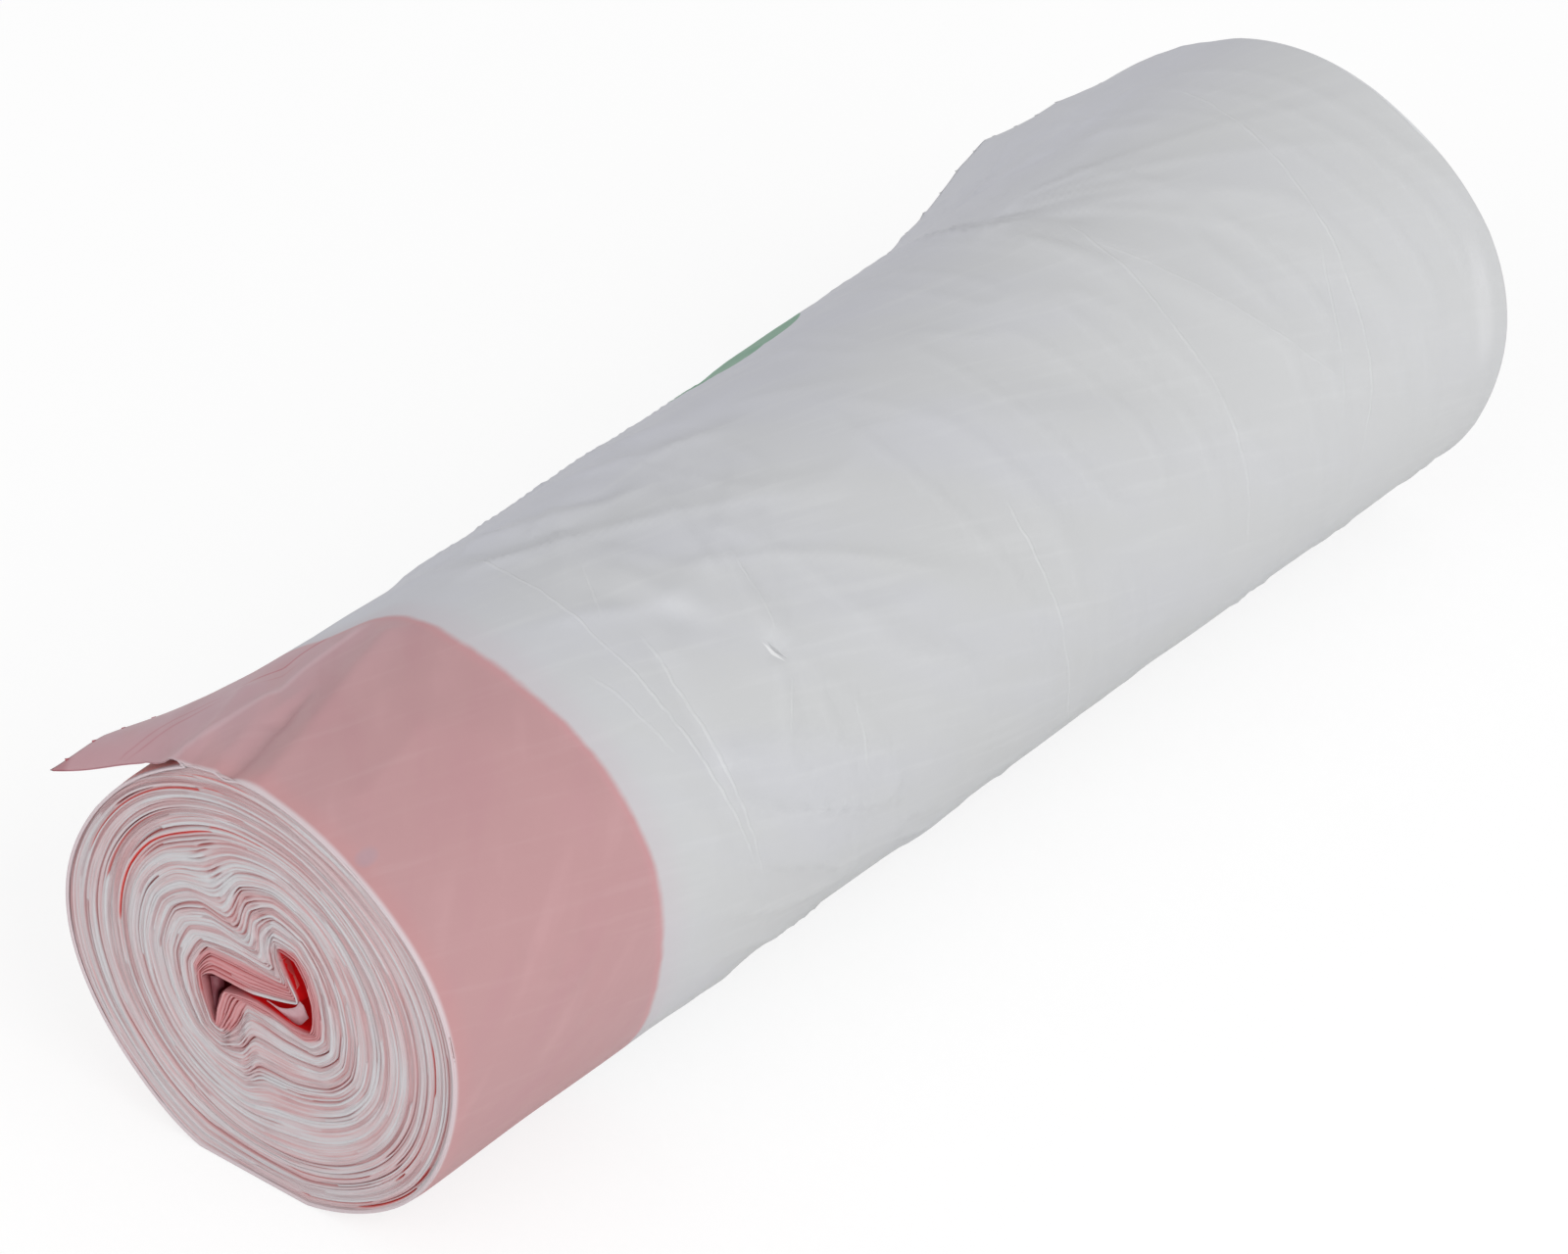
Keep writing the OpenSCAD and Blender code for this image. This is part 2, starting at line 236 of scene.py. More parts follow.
# Red and dark lines between the turns of the taped end: turn, first and last direction, strength, openness
ACCENTS = [
    (8.6, 86, 177, 1.0, 0.5),
    (8.6, 36, 86, 0.75, 0.5),
    (11.2, 322, 369, 0.8, 0.7),
    (10.2, 281, 308, 0.5, 0.6),
    (11.4, 102, 160, 0.75, 0.45),
    (12.4, 93, 112, 0.4, 0.3),
    (11.6, 128, 140, 0.1, 1.2),
    (9.8, 96, 165, 0.5, 0.5),
    (12.0, 284, 303, 0.8, 0.9),
    (12.4, 302, 330, 0.8, 0.9),
    (9.2, 186, 262, 0.15, 0.9),
    (10.6, 292, 385, 0.1, 0.8),
    (2.0, 118, 168, 0.3, 1.2),
    (5.4, 62, 104, 0.1, 1.0),
]

# Places where the turns are pleated: direction and turn of the first and the last pleat, half width
PLEATS = [
    ((118, 2.2), (117, 8), 5),
    ((84, 1.6), (97, 4.9), 6),
    ((268, 2.0), (262, 5.6), 6),
    ((244, 1.2), (246, 3.4), 5),
]

# Turns round the hollow that show pink: direction and the last of those turns
PINK_TURNS = [
    (0, 2.0), (60, 1.8), (85, 1.1), (105, 0.8), (118, 1.7), (180, 1.9), (200, 1.1), (238, 0.9),
    (250, 2.0), (285, 1.9), (300, 1.5), (340, 1.9), (360, 2.0),
]

# Camera of the photograph: its place, the ways that it and its right side face, lens and sensor width
CAMERA_AT = (0.5046, -0.6175, 0.5808)
CAMERA_FORWARD = (-0.52426, 0.63330, -0.56924)
CAMERA_RIGHT = (0.77031, 0.63767, 0)
CAMERA_LENS = 157.5
CAMERA_SENSOR = 36

# Floor: half its width, and its own brightness and how much of it the camera sees
FLOOR_REACH = 6
FLOOR_GLOW = 1.055
FLOOR_GLOW_SHARE = 0.74

# Folds of the web inside the hollow, in lines from front to back: depth behind the taped end, and points
# measured from the middle of the taped end
INNER_FOLDS = [
    ("pale", [
        (0.3, [(1.2, -0.6), (3.7, -0.6), (6.2, 0.7), (7.2, 2.2)]),
        (0.7, [(1.3, -1.1), (4.0, -1.6), (6.4, -0.6), (7.5, 1.4)]),
        (1.1, [(1.4, -1.6), (4.1, -2.5), (6.1, -2.7), (7.9, -0.7)]),
    ]),
    # The dark folds lie in the left lobe, and their colours are painted shade
    ("dark", [
        (1.3, [(-10.0, -2.6), (-9.9, -4.2), (-9.7, -6.2), (-9.5, -8.0)]),
        (2.4, [(-8.7, -2.9), (-8.6, -4.3), (-9.3, -5.4), (-9.6, -7.6)]),
    ]),
]


def linear(red, green, blue):
    """Scene-linear colour of one that is written from 0 to 255."""
    return [(c/255/12.92 if c < 11 else ((c/255 + 0.055)/1.055)**2.4) for c in (red, green, blue)]


def length_setting(name, description, millimetres):
    """Setting that is a length."""
    return FloatProperty(
        name=name, description=description, default=millimetres*MM, subtype="DISTANCE", unit="LENGTH")


def colour_setting(name, description, *values):
    """Setting that is a colour, written from 0 to 255."""
    return FloatVectorProperty(
        name=name, description=description, default=linear(*values), size=3, subtype="COLOR")


class RollShape(PropertyGroup):
    """Sizes of the fine shape that the solids don't have."""

    plies: IntProperty(
        name="Plies per turn", description="Fine plies that show in each turn of the solid",
        default=5, min=2, max=6)
    groove_depth: length_setting("Groove depth", "Depth of the open grooves between the plies", 1.5)
    wrinkle_height: length_setting("Wrinkle height", "Height of the broad waves in the film cover", 0.26)
    loose_thickness: length_setting("Loose end thickness", "Thickness of the loose end of the web", 0.2)
    nib_pitch: length_setting("Nib pitch", "Distance between the nibs of the torn perforation", 5)


class RollColours(PropertyGroup):
    """Colours of the film, the tape and the print."""

    film: colour_setting("Film", "Film over film", 196, 197, 198)
    # Mixed in at random as mottling, and towards the top as painted shade and sky tint
    film_shade: colour_setting("Film in folds", "Film where it is thin or cool", 197, 198, 205)
    ply: colour_setting("Ply edges", "Edges of the plies", 205, 203, 206)
    ply_pink: colour_setting("Tinted ply edges", "Edges of plies that the tape shines through", 204, 167, 169)
    between: colour_setting("Between plies", "Tape that shows between the plies", 216, 104, 98)
    band: colour_setting("Tape under film", "Draw tape seen through the outermost film", 186, 143, 145)
    band_mauve: colour_setting(
        "Tape on loose end", "Draw tape where the loose end lets light through", 197, 161, 170)
    rim: colour_setting("Rim", "Film beyond the edge of the tape", 209, 194, 198)
    tape: colour_setting("Bare tape", "Draw tape in the hollow", 198, 20, 24)
    print: colour_setting("Print", "Plain oval printed on the film", 112, 160, 134)


class RollStage(PropertyGroup):
    """Light of the stage."""

    key: FloatProperty(
        name="Key lamp", description="Power of the large soft lamp on the right", default=10.5, unit="POWER")
    fill: FloatProperty(
        name="Fill lamp", description="Power of the soft lamp before the taped end", default=5, unit="POWER")
    sky: FloatProperty(
        name="Sky", description="Strength of the even light from all round", default=0.62, subtype="FACTOR")


def once_round(angle):
    """Angle brought to between 0 and 360 degrees."""
    return np.mod(angle, 360)


def turned_from(direction, angle):
    """Angle from a direction to another, at most half a turn either way."""
    return once_round(angle - direction + 180) - 180


def closed_curve(points, angle, sharpness):
    """Smooth closed curve through the points, at the given directions, or straighter between them."""
    points = np.array(points, float)
    count = len(points)
    reached = once_round(angle)/360*count
    i = np.floor(reached).astype(int)
    f = (reached - i)[..., None]
    a, b, c, d = (points[(i + k) % count] for k in (-1, 0, 1, 2))
    smooth = b + f/2*(c - a + f*(2*a - 5*b + 4*c - d + f*(3*b - a - 3*c + d)))
    return smooth*(1 - sharpness) + (b + (c - b)*f)*sharpness


def round_turn(angle):
    """Turn that is already round, some way below the outside."""
    angle = np.radians(angle)
    return np.stack([(HALF_WIDTH - ROUND_DEPTH)*np.cos(angle), (HALF_HEIGHT - ROUND_DEPTH)*np.sin(angle)], -1)


def outside(angle):
    """Outside of the roll, flat where its last turn lies on the surface."""
    swell = sum(height*np.exp(-(turned_from(at, angle)/spread)**2) for at, height, spread in SWELLS)
    last_turn = OUTERMOST_TURN - 1 + once_round(angle - LOOSE_ANGLE)/360
    share = (last_turn/OUTERMOST_TURN - FORM_TURNS[3])/(1 - FORM_TURNS[3])
    round_height = round_turn(angle)[..., 1]
    lowest = round_height - (MIDDLE_HEIGHT + round_height)/share
    a = np.radians(angle)
    return np.stack([(HALF_WIDTH + swell)*np.cos(a), np.maximum((HALF_HEIGHT + swell)*np.sin(a), lowest)], -1)


def turn_point(angle, turn):
    """Point of the end at a direction and a number of turns out from the start of the winding."""
    angle, turn = np.broadcast_arrays(np.asarray(angle, float), np.asarray(turn, float))
    out = turn/OUTERMOST_TURN
    forms = [
        closed_curve(points, angle, sharpness) + [0, HOLLOW_RISE]
        for points, sharpness in zip((HOLLOW_FORM, CORE_FORM, MIDDLE_FORM), FOLD_SHARPNESS)
    ]
    forms += [round_turn(angle), outside(angle)]
    point = np.zeros(angle.shape + (2,))
    for k in range(len(forms) - 1):
        share = ((out - FORM_TURNS[k])/(FORM_TURNS[k + 1] - FORM_TURNS[k]))[..., None]
        here = np.ones(out.shape, bool) if k == 0 else out >= FORM_TURNS[k]
        point = np.where(here[..., None], forms[k]*(1 - share) + forms[k + 1]*share, point)
    return point


def place(point, station):
    """Point of the roll, in millimetres, of a point of its end at a distance from the taped end."""
    station = np.broadcast_to(np.asarray(station, float), point.shape[:-1])
    size = 1 + (PLAIN_END_WIDTH/TAPED_END_WIDTH - 1)*np.interp(station, *zip(*GROWTH))
    along = station - ROLL_LENGTH/2
    return np.stack([point[..., 0]*size, along, (point[..., 1] + MIDDLE_HEIGHT)*size], -1)


def smooth_step(value, low, high):
    """0 below low, 1 above high and a smooth rise between."""
    share = np.clip((np.asarray(value, float) - low)/(high - low), 0, 1)
    return share*share*(3 - 2*share)


def wave(seed, x, y=0.0):
    """Smooth random heights between -1 and 1 over one or two numbers, with bumps about one unit wide."""
    cells = 256
    table = np.random.default_rng(seed).uniform(-1, 1, (cells, cells))
    x, y = np.broadcast_arrays(np.asarray(x, float), np.asarray(y, float))
    column, row = np.floor(x).astype(int), np.floor(y).astype(int)
    fx, fy = smooth_step(x - column, 0, 1), smooth_step(y - row, 0, 1)
    row, next_row = row % cells, (row + 1) % cells
    column, next_column = column % cells, (column + 1) % cells
    lower = table[row, column]*(1 - fx) + table[row, next_column]*fx
    upper = table[next_row, column]*(1 - fx) + table[next_row, next_column]*fx
    return lower*(1 - fy) + upper*fy


def add_piece(name, points, faces, attributes, material, slot, *nodes):
    """Adds a smooth mesh piece, in millimetres, that rides on the roll and stands for the named nodes."""
    mesh = bpy.data.meshes.new(name)
    mesh.from_pydata((np.asarray(points)*MM).tolist(), [], faces)
    for label, values in attributes.items():
        attribute = mesh.attributes.new(label, "FLOAT", "POINT")
        attribute.data.foreach_set("value", np.ravel(values).astype(np.float32))
    work = bmesh.new()
    work.from_mesh(mesh)
    bmesh.ops.remove_doubles(work, verts=work.verts, dist=0.002*MM)
    bmesh.ops.dissolve_degenerate(work, edges=work.edges, dist=0.001*MM)
    loose = [v for v in work.verts if not v.link_faces]
    bmesh.ops.delete(work, geom=loose, context="VERTS")
    work.to_mesh(mesh)
    work.free()
    mesh.shade_smooth()
    mesh.materials.append(material)
    piece = bpy.data.objects.new(name, mesh)
    bpy.context.scene.collection.objects.link(piece)
    if nodes:
        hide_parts(*nodes)
    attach(piece, "root")
    return piece


def grid_quads(rows, columns, closed=False):
    """Faces of a grid of points, whose last column may join its first."""
    r, c = np.meshgrid(np.arange(rows - 1), np.arange(columns if closed else columns - 1), indexing="ij")
    d = (c + 1) % columns
    near, far = r*columns, (r + 1)*columns
    return np.stack([near + c, far + c, far + d, near + d], -1).reshape(-1, 4)


class Value:
    """Number, colour or vector that a node gives. Arithmetic on it adds Math nodes."""

    def __init__(self, shader, socket):
        self.shader = shader
        self.socket = socket

    def __add__(self, other):
        return self.shader.math("ADD", self, other)

    def __sub__(self, other):
        return self.shader.math("SUBTRACT", self, other)

    def __rsub__(self, other):
        return self.shader.math("SUBTRACT", other, self)

    def __mul__(self, other):
        return self.shader.math("MULTIPLY", self, other)

    def __truediv__(self, other):
        return self.shader.math("DIVIDE", self, other)

    def __abs__(self):
        return self.shader.math("ABSOLUTE", self)

    __radd__ = __add__


class Shader:
    """Procedural material with one Principled shader."""

    def __init__(self, name):
        self.material = bpy.data.materials.new(name)
        self.material.use_nodes = True
        self.tree = self.material.node_tree
        self.tree.nodes.clear()

    def node(self, kind, settings=None, inputs=None, output=0):
        """Adds a node, sets it up, fills or links its sockets and gives one of its outputs."""
        node = self.tree.nodes.new("ShaderNode" + kind)
        for name, value in (settings or {}).items():
            setattr(node, name, value)
        for name, value in (inputs or {}).items():
            if isinstance(value, Value):
                self.tree.links.new(value.socket, node.inputs[name])
            else:
                node.inputs[name].default_value = value
        return Value(self, node.outputs[output]) if node.outputs else None

    def math(self, operation, *values):
        """Number that a Math node works out."""
        return self.node("Math", {"operation": operation}, dict(enumerate(values)))

    def mix(self, factor, first, second):
        """Blend of two colours."""
        first, second = ((*c, 1) if not isinstance(c, Value) else c for c in (first, second))
        return self.node("Mix", {"data_type": "RGBA"}, {0: factor, 6: first, 7: second}, 2)

    def layers(self, colour, *layers):
        """Colour under further ones, each given from 0 to 255 behind the mask that it shows in."""
        for mask, tint in layers:
            colour = self.mix(mask, colour, linear(*tint))
        return colour

    def rise(self, value, low, high):
        """0 below low, 1 above high and a smooth rise between."""
        inputs = {"Value": value, "From Min": low, "From Max": high}
        return self.node("MapRange", {"interpolation_type": "SMOOTHSTEP"}, inputs)

    def fall(self, value, low, high):
        """1 below low, 0 above high and a smooth fall between."""
        return 1 - self.rise(value, low, high)

    def attribute(self, name):
        """Number that the mesh holds at each point."""
        return self.node("Attribute", {"attribute_name": name}, output="Fac")

    def vector(self, *values):
        """Vector of three numbers."""
        return self.node("CombineXYZ", inputs=dict(zip("XYZ", values)))

    def noise(self, vector, scale, detail=2):
        """Smooth random number between 0 and 1."""
        return self.node("TexNoise", inputs={"Vector": vector, "Scale": scale, "Detail": detail})

    def surface(self, colour, height, bump, distance=0.0002, **sockets):
        """Ends the material with a Principled shader and a bump of the given height."""
        inputs = {"Strength": bump, "Distance": distance, "Height": height}
        inputs = {"Base Color": colour, "Normal": self.node("Bump", inputs=inputs)}
        inputs.update({name.replace("_", " "): value for name, value in sockets.items()})
        shader = self.node("BsdfPrincipled", inputs=inputs)
        self.node("OutputMaterial", inputs={"Surface": shader})
        return self.material


def line_mask(shader, along, across, points, width, fade):
    """1 on a thin curved line through three points and 0 beside it, faded out at both ends."""
    (start, a), (middle, b), (end, c) = points
    first = (b - a)/(middle - start)
    second = ((c - b)/(end - middle) - first)/(end - start)
    gone = along - start
    off = abs(across - a - gone*first - gone*(along - middle)*second)
    low, high = sorted((start, end))
    ends = shader.rise(along, low, low + fade)*shader.fall(along, high - fade, high)
    return shader.fall(off, width*0.2, width)*ends


def crease_height(shader, direction, station):
    """Height of the thin creases of the film."""
    wobble = (shader.noise(shader.vector(direction/9, station/9, 0), 1, 3) - 0.5)*1.6
    broken = shader.rise(shader.noise(shader.vector(direction/6, station/30, 5), 1, 2), 0.35, 0.55)
    height = 0
    for *points, strength in CREASES:
        line = line_mask(shader, direction, station + wobble, points, 0.36, 8)
        height = line*strength + height
    return height*(broken*0.6 + 0.4)


def film_material(name, colours):
    """Thin white film, with the draw tape showing through at the taped end."""
    shader = Shader(name)
    direction = shader.attribute("direction")
    station = shader.attribute("station")
    arc = direction*ARC_OF_DEGREE
    flat = shader.vector(arc, station, 0)
    broad = shader.noise(shader.vector((arc + station*0.5)/20, station/46, 0), 1, 3)
    fine = shader.noise(flat, 0.9, 4)
    streaks = shader.noise(shader.vector((arc + station*0.3)/1.8, station/26, 0), 1, 3)

    # Random cool mottling and painted sky light, cooler and bluer towards the top and the back; painted light,
    # paler towards the plain end; pale streaks, painted highlights along the creases and a painted highlight
    # strip near the plain end
    creases = crease_height(shader, direction, station)
    # Random mottling, and painted shade and sky tint towards the top
    mottle_and_painted_shade = shader.rise(broad, 0.36, 0.7)*0.45 + shader.rise(direction, 30, 130)*0.45
    # Painted highlight strip near the plain end
    painted_end_highlight = line_mask(shader, direction, station, ((33, 226), (15, 225.3), (-3, 224.5)), 2.6, 12)
    film = shader.layers(
        shader.mix(mottle_and_painted_shade, colours.film, colours.film_shade),
        # Painted light: the film grows paler towards the plain end
        (shader.rise(station, 110, 215)*0.6, (207, 208, 209)),
        # Painted sky light: lighter and bluer towards the top and the back
        (shader.rise(direction, 86, 128)*0.6, (209, 210, 221)),
        (shader.rise(streaks, 0.5, 0.75)*0.16, (216, 217, 218)),
        # Painted highlight along the creases
        (creases*0.26, (224, 225, 226)),
        (painted_end_highlight*0.3, (224, 224, 226)),
    )

    # Plain printed oval at the back of the top
    oval_arc = (direction - PRINT_AT[0])*(ARC_OF_DEGREE/PRINT_HALF_SIZE[0])
    oval_station = (station - PRINT_AT[1])*(1/PRINT_HALF_SIZE[1])
    oval = shader.math("SQRT", oval_arc*oval_arc + oval_station*oval_station)
    film = shader.mix(shader.fall(oval, 0.98, 1.0), film, colours.print)

    # Small tear, with painted shade inside it and a painted highlight along its lifted edge
    tear_arc = (direction - TEAR_AT[0])*ARC_OF_DEGREE
    tear = abs(tear_arc*0.35 + (station - TEAR_AT[1])) + abs(tear_arc)*0.26
    painted_lip_highlight = abs(tear_arc*0.35 + (station - (TEAR_AT[1] - 0.7))) + abs(tear_arc)*0.24

    # The tape ends in a soft edge, earlier on the loose end, and the film just beyond it is tinted
    edge = station + (shader.noise(flat, 0.22, 2) - 0.5)*1.1 + (shader.noise(flat, 0.045, 1) - 0.5)*3
    loose = shader.rise(direction, LOOSE_ANGLE - 22, LOOSE_ANGLE + 22)
    edge = edge + shader.rise(direction, LOOSE_ANGLE - 2, LOOSE_ANGLE + 16)*TAPE_STEP
    tape = shader.rise(station + loose*1.2, 0.3, 1.2)*shader.fall(edge, TAPE_END - 0.5, TAPE_END + 0.9)
    film = shader.layers(
        film,
        # Painted highlight on the tear's lifted edge, then painted shade inside the tear
        (shader.fall(painted_lip_highlight, 0.25, 0.55)*0.8, (230, 230, 231)),
        (shader.fall(tear, 0.15, 0.4)*0.55, (165, 166, 168)),
        (shader.fall(edge, TAPE_END, TAPE_END + 7)*0.5, (196, 187, 193)),
    )
    film = shader.mix(shader.fall(station, 3, 6), film, colours.rim)
    # The band turns a little mauve towards the top as painted cool light, and more mauve on the loose end,
    # where light comes through its tape
    band = shader.mix(loose*0.75 + shader.rise(direction, 40, 110)*0.15, colours.band, colours.band_mauve)
    smears = shader.noise(shader.vector((arc - station*0.9)/9, (station + arc*0.5)/26, 2), 1, 3)
    front = shader.fall(station, 0.8, 5)*(1 - loose)
    seam = shader.rise(edge, TAPE_END - 1.8, TAPE_END - 0.4)
    tip = shader.fall(station, 0, 14)*shader.rise(direction, LOOSE_ANGLE + 2, LOOSE_ANGLE + 22)
    # Painted light: the film under the loose end is brightened against the shade it lies in
    under = shader.fall(direction, LOOSE_ANGLE - 320, LOOSE_ANGLE - 305)
    corner = shader.rise(direction - station*1.5, LOOSE_ANGLE + 40, LOOSE_ANGLE + 43)
    band = shader.layers(
        band,
        (shader.rise(smears, 0.5, 0.72)*0.4, (197, 154, 157)),
        (shader.fall(smears, 0.3, 0.5)*0.35, (183, 136, 142)),
        (front*0.4, (196, 140, 141)),
        (seam*0.45, (198, 144, 148)),
        (shader.rise(streaks, 0.5, 0.8)*0.12, (208, 176, 178)),
        (tip*0.8, (203, 148, 156)),
        (under, (228, 152, 148)),
        (corner*0.7, (176, 108, 116)),
    )

    # Red creases, a painted highlight along a crest of the loose end, and a small smudge near the rim
    for *points, strength in TAPE_LINES:
        turned = [(at, angle) for angle, at in points]
        line = line_mask(shader, station, direction, turned, 0.9, 4)
        band = shader.mix(line*strength, band, linear(184, 92, 104))
    # Painted highlight along the crest of the loose end
    crest = line_mask(shader, station, direction, ((-6, 112.5), (14, 113), (39, 112.5)), 1.8, 5)
    smudge_arc = (direction - SMUDGE_AT[0])*ARC_OF_DEGREE
    smudge = smudge_arc*smudge_arc + (station - SMUDGE_AT[1])*(station - SMUDGE_AT[1])*0.4
    band = shader.layers(
        band,
        (crest*0.5, (212, 182, 188)),
        (shader.fall(smudge, 0.2, 2.2)*0.45, (166, 146, 158)),
    )
    colour = shader.mix(tape, film, band)
    height = creases*0.7 + fine*0.14 + streaks*0.16 - shader.fall(tear, 0.15, 0.5)*1.2
    roughness = 0.36 + shader.noise(flat, 0.12, 2)*0.16
    return shader.surface(colour, height, 0.5, Roughness=roughness, Specular_IOR_Level=0.5)


def nib_material(name):
    """Torn bits of tape and film along the perforation."""
    shader = Shader(name)
    station = shader.attribute("station")
    grain = shader.noise(shader.node("TexCoord", output="Object"), 1200, 2)
    tape = shader.mix(grain, linear(196, 104, 112), linear(178, 84, 94))
    colour = shader.mix(shader.rise(station, TAPE_END - 1, TAPE_END + 1), tape, linear(206, 207, 209))
    return shader.surface(colour, grain, 0.2, Roughness=0.4)


def turns_material(name, colours, tinted):
    """Edges of the plies: pale ridges and, at the taped end, pink and red between them; at the plain end,
    painted grey shade between them.
    """
    shader = Shader(name)
    turn = shader.attribute("turn")
    gap = shader.attribute("gap")
    tone = shader.attribute("tone")
    direction = shader.attribute("direction")
    hairs = shader.noise(shader.vector(turn*12, direction/34, 0), 1, 2)
    patches = shader.noise(shader.vector(turn*1.1, direction/45, 3), 1, 2)
    if tinted:
        core = shader.attribute("core")
        tint = shader.rise(gap, 0.0, 0.3)*0.7 + shader.rise(hairs, 0.42, 0.7)*0.55
        tint = tint + shader.rise(patches, 0.35, 0.7)*0.5 + tone
        tint = shader.math("MAXIMUM", shader.math("MINIMUM", tint, 1), 0)
        colour = shader.mix(tint, colours.ply, colours.ply_pink)
        colour = shader.mix(shader.rise(gap, 0.08, 0.95), colour, colours.between)
        inner = shader.mix(shader.rise(gap + hairs*0.5, 0.2, 0.9), linear(206, 146, 149), linear(190, 70, 70))
        colour = shader.mix(core, colour, inner)
        colour = shader.mix(shader.attribute("red"), colour, linear(228, 66, 52))
    else:
        # Painted shade: grey in the open grooves between the plies, with random tone and hairlines
        groove_shade_and_tone = shader.rise(gap, 0.05, 1.2)*0.7 + shader.rise(hairs, 0.5, 0.75)*0.3 + tone*0.3
        colour = shader.mix(groove_shade_and_tone, linear(212, 213, 215), linear(172, 174, 180))
    return shader.surface(colour, hairs, 0.3, Roughness=0.42, Specular_IOR_Level=0.45)


def lining_material(name, colours, tape):
    """Wall of the hollow: bare red tape near the taped end and folded film further in, with, on the tape,
    painted shade in the left lobe and a faint painted red glow.
    """
    shader = Shader(name)
    station = shader.attribute("station")
    direction = shader.attribute("direction")
    folds = shader.noise(shader.vector(direction/7, station/40, 0), 1, 3)
    if not tape:
        colour = shader.mix(folds, linear(206, 208, 212), linear(180, 178, 184))
        return shader.surface(colour, folds, 0.4, 0.0005, Roughness=0.36, Specular_IOR_Level=0.5)
    # Painted shade: the left lobe of the hollow is darker
    left = shader.rise(direction, 142, 154)*shader.fall(direction, 286, 300)
    deep = shader.mix(shader.rise(folds, 0.4, 0.75)*0.5, colours.tape, linear(168, 14, 16))
    deep = shader.mix(left*0.75, deep, linear(128, 46, 56))
    colour = shader.mix(shader.rise(station, 0.35, 0.8 + left*1.4), linear(206, 142, 146), deep)
    # Painted light: the red tape further in glows faintly, though it is no lamp
    glow = shader.mix(shader.rise(station, 0.4, 0.9)*(1 - left)*0.14, linear(0, 0, 0), colours.tape)
    return shader.surface(
        colour, folds, 0.4, 0.0005, Roughness=0.36, Emission_Color=glow, Emission_Strength=1.0)


def fold_material(name, pale):
    """Creased film and tape inside the hollow: pale folds, and dark folds whose colours are painted shade."""
    shader = Shader(name)
    place_of = shader.node("TexCoord", output="Object")
    folds = shader.noise(place_of, 900, 2)
    # Colours of the dark folds are painted shade
    light, dark = ((206, 168, 174), (184, 132, 140)) if pale else ((150, 88, 96), (118, 52, 62))
    colour = shader.mix(folds, linear(*light), linear(*dark))
    return shader.surface(colour, folds, 0.3, 0.0003, Roughness=0.34, Specular_IOR_Level=0.5)


def loose_point(along, direction_turned, station):
    """Point on top of the loose end, lying on the roll or lifting off it."""
    base = END_ANGLE/360
    below = base + direction_turned/360 + (FILM_SHARE + (LOOSE_GAP/SPACING - FILM_SHARE)*(1 - (1 - along)**2))
    lying = turn_point(LOOSE_ANGLE + direction_turned, below)
    root = turn_point(LOOSE_ANGLE, base + FILM_SHARE)
    ahead = turn_point(LOOSE_ANGLE + 1, base + 1) - turn_point(LOOSE_ANGLE - 1, base + 1)
    straight = root + ahead/np.linalg.norm(ahead)*along[..., None]*LOOSE_LENGTH
    raised = np.interp(station, *zip(*LIFT))
    facing = np.radians(LOOSE_ANGLE + direction_turned*(1 - raised))
    middle = lying*(1 - raised[..., None]) + straight*raised[..., None]
    return middle + LOOSE_TOP*np.stack([np.cos(facing), np.sin(facing)], -1)


def off_course(arc, station, course):
    """Distance, in millimetres, from a course of straight stretches over the film."""
    course = [(math.radians(angle)*HALF_WIDTH, far) for angle, far in course]
    nearest = np.full(arc.shape, np.inf)
    for (x, y), (next_x, next_y) in zip(course, course[1:]):
        ahead = np.array([next_x - x, next_y - y])
        share = np.clip(((arc - x)*ahead[0] + (station - y)*ahead[1])/(ahead @ ahead), 0, 1)
        nearest = np.minimum(nearest, np.hypot(arc - x - share*ahead[0], station - y - share*ahead[1]))
    return nearest


def film_height(direction, station, shape):
    """Height of the waves, gathers, folds and dents of the film, in millimetres."""
    arc = np.radians(direction)*HALF_WIDTH
    broad = shape.wrinkle_height/MM
    height = broad*wave(3, arc/24, station/38) + 0.4*broad*wave(4, arc/9, station/17)
    diagonal = 1 - abs(wave(5, (arc + 0.55*station)/8, (station - 0.5*arc)/34))
    beyond_tape = smooth_step(station, TAPE_END + 2, TAPE_END + 20)
    height += 0.46*diagonal**6*beyond_tape*smooth_step(-station, -130, -95)
    across = 1 - abs(wave(6, (station + 0.25*arc)/7, arc/30))
    height += 0.25*across**8*smooth_step(station, TAPE_END + 4, TAPE_END + 20)
    for at, far, reach, tall, folds, middle, spread in GATHERS:
        x, y = arc - math.radians(at)*HALF_WIDTH, station - far
        distance = np.hypot(x, y)
        turned = np.degrees(np.arctan2(x, y))
        off = abs((turned - middle + 180) % 360 - 180)
        fold = 1 - abs(wave(20 + folds, turned*folds/180, distance/60))
        fan = smooth_step(-off, -spread, -0.6*spread)*smooth_step(distance, 0, 4)
        height += tall*(fold**3 - 0.3)*np.exp(-distance/reach)*fan
    for tall, half_width, course in FOLDS:
        height += tall*np.exp(-(off_course(arc, station, course)/half_width)**1.5)
    for at, far, radius, depth in DENTS:
        distance = np.hypot(arc - math.radians(at)*HALF_WIDTH, station - far)
        height -= depth*np.exp(-(distance/radius)**2)
    return height


def end_share(direction, station):
    """How much of the height of its folds the film keeps near the ends, where it holds to the roll."""
    held = 1 - smooth_step(station, -0.5, 3)*smooth_step(-station, -ROLL_LENGTH - 0.5, -ROLL_LENGTH + 3)
    return 1 - 0.65*held*(1 - smooth_step(direction, LOOSE_ANGLE - 22, LOOSE_ANGLE - 6))


def rim_height(direction, shape):
    """Height of the film's folds at the taped end."""
    station = np.zeros(direction.shape)
    return film_height(direction, station, shape)*end_share(direction, station)


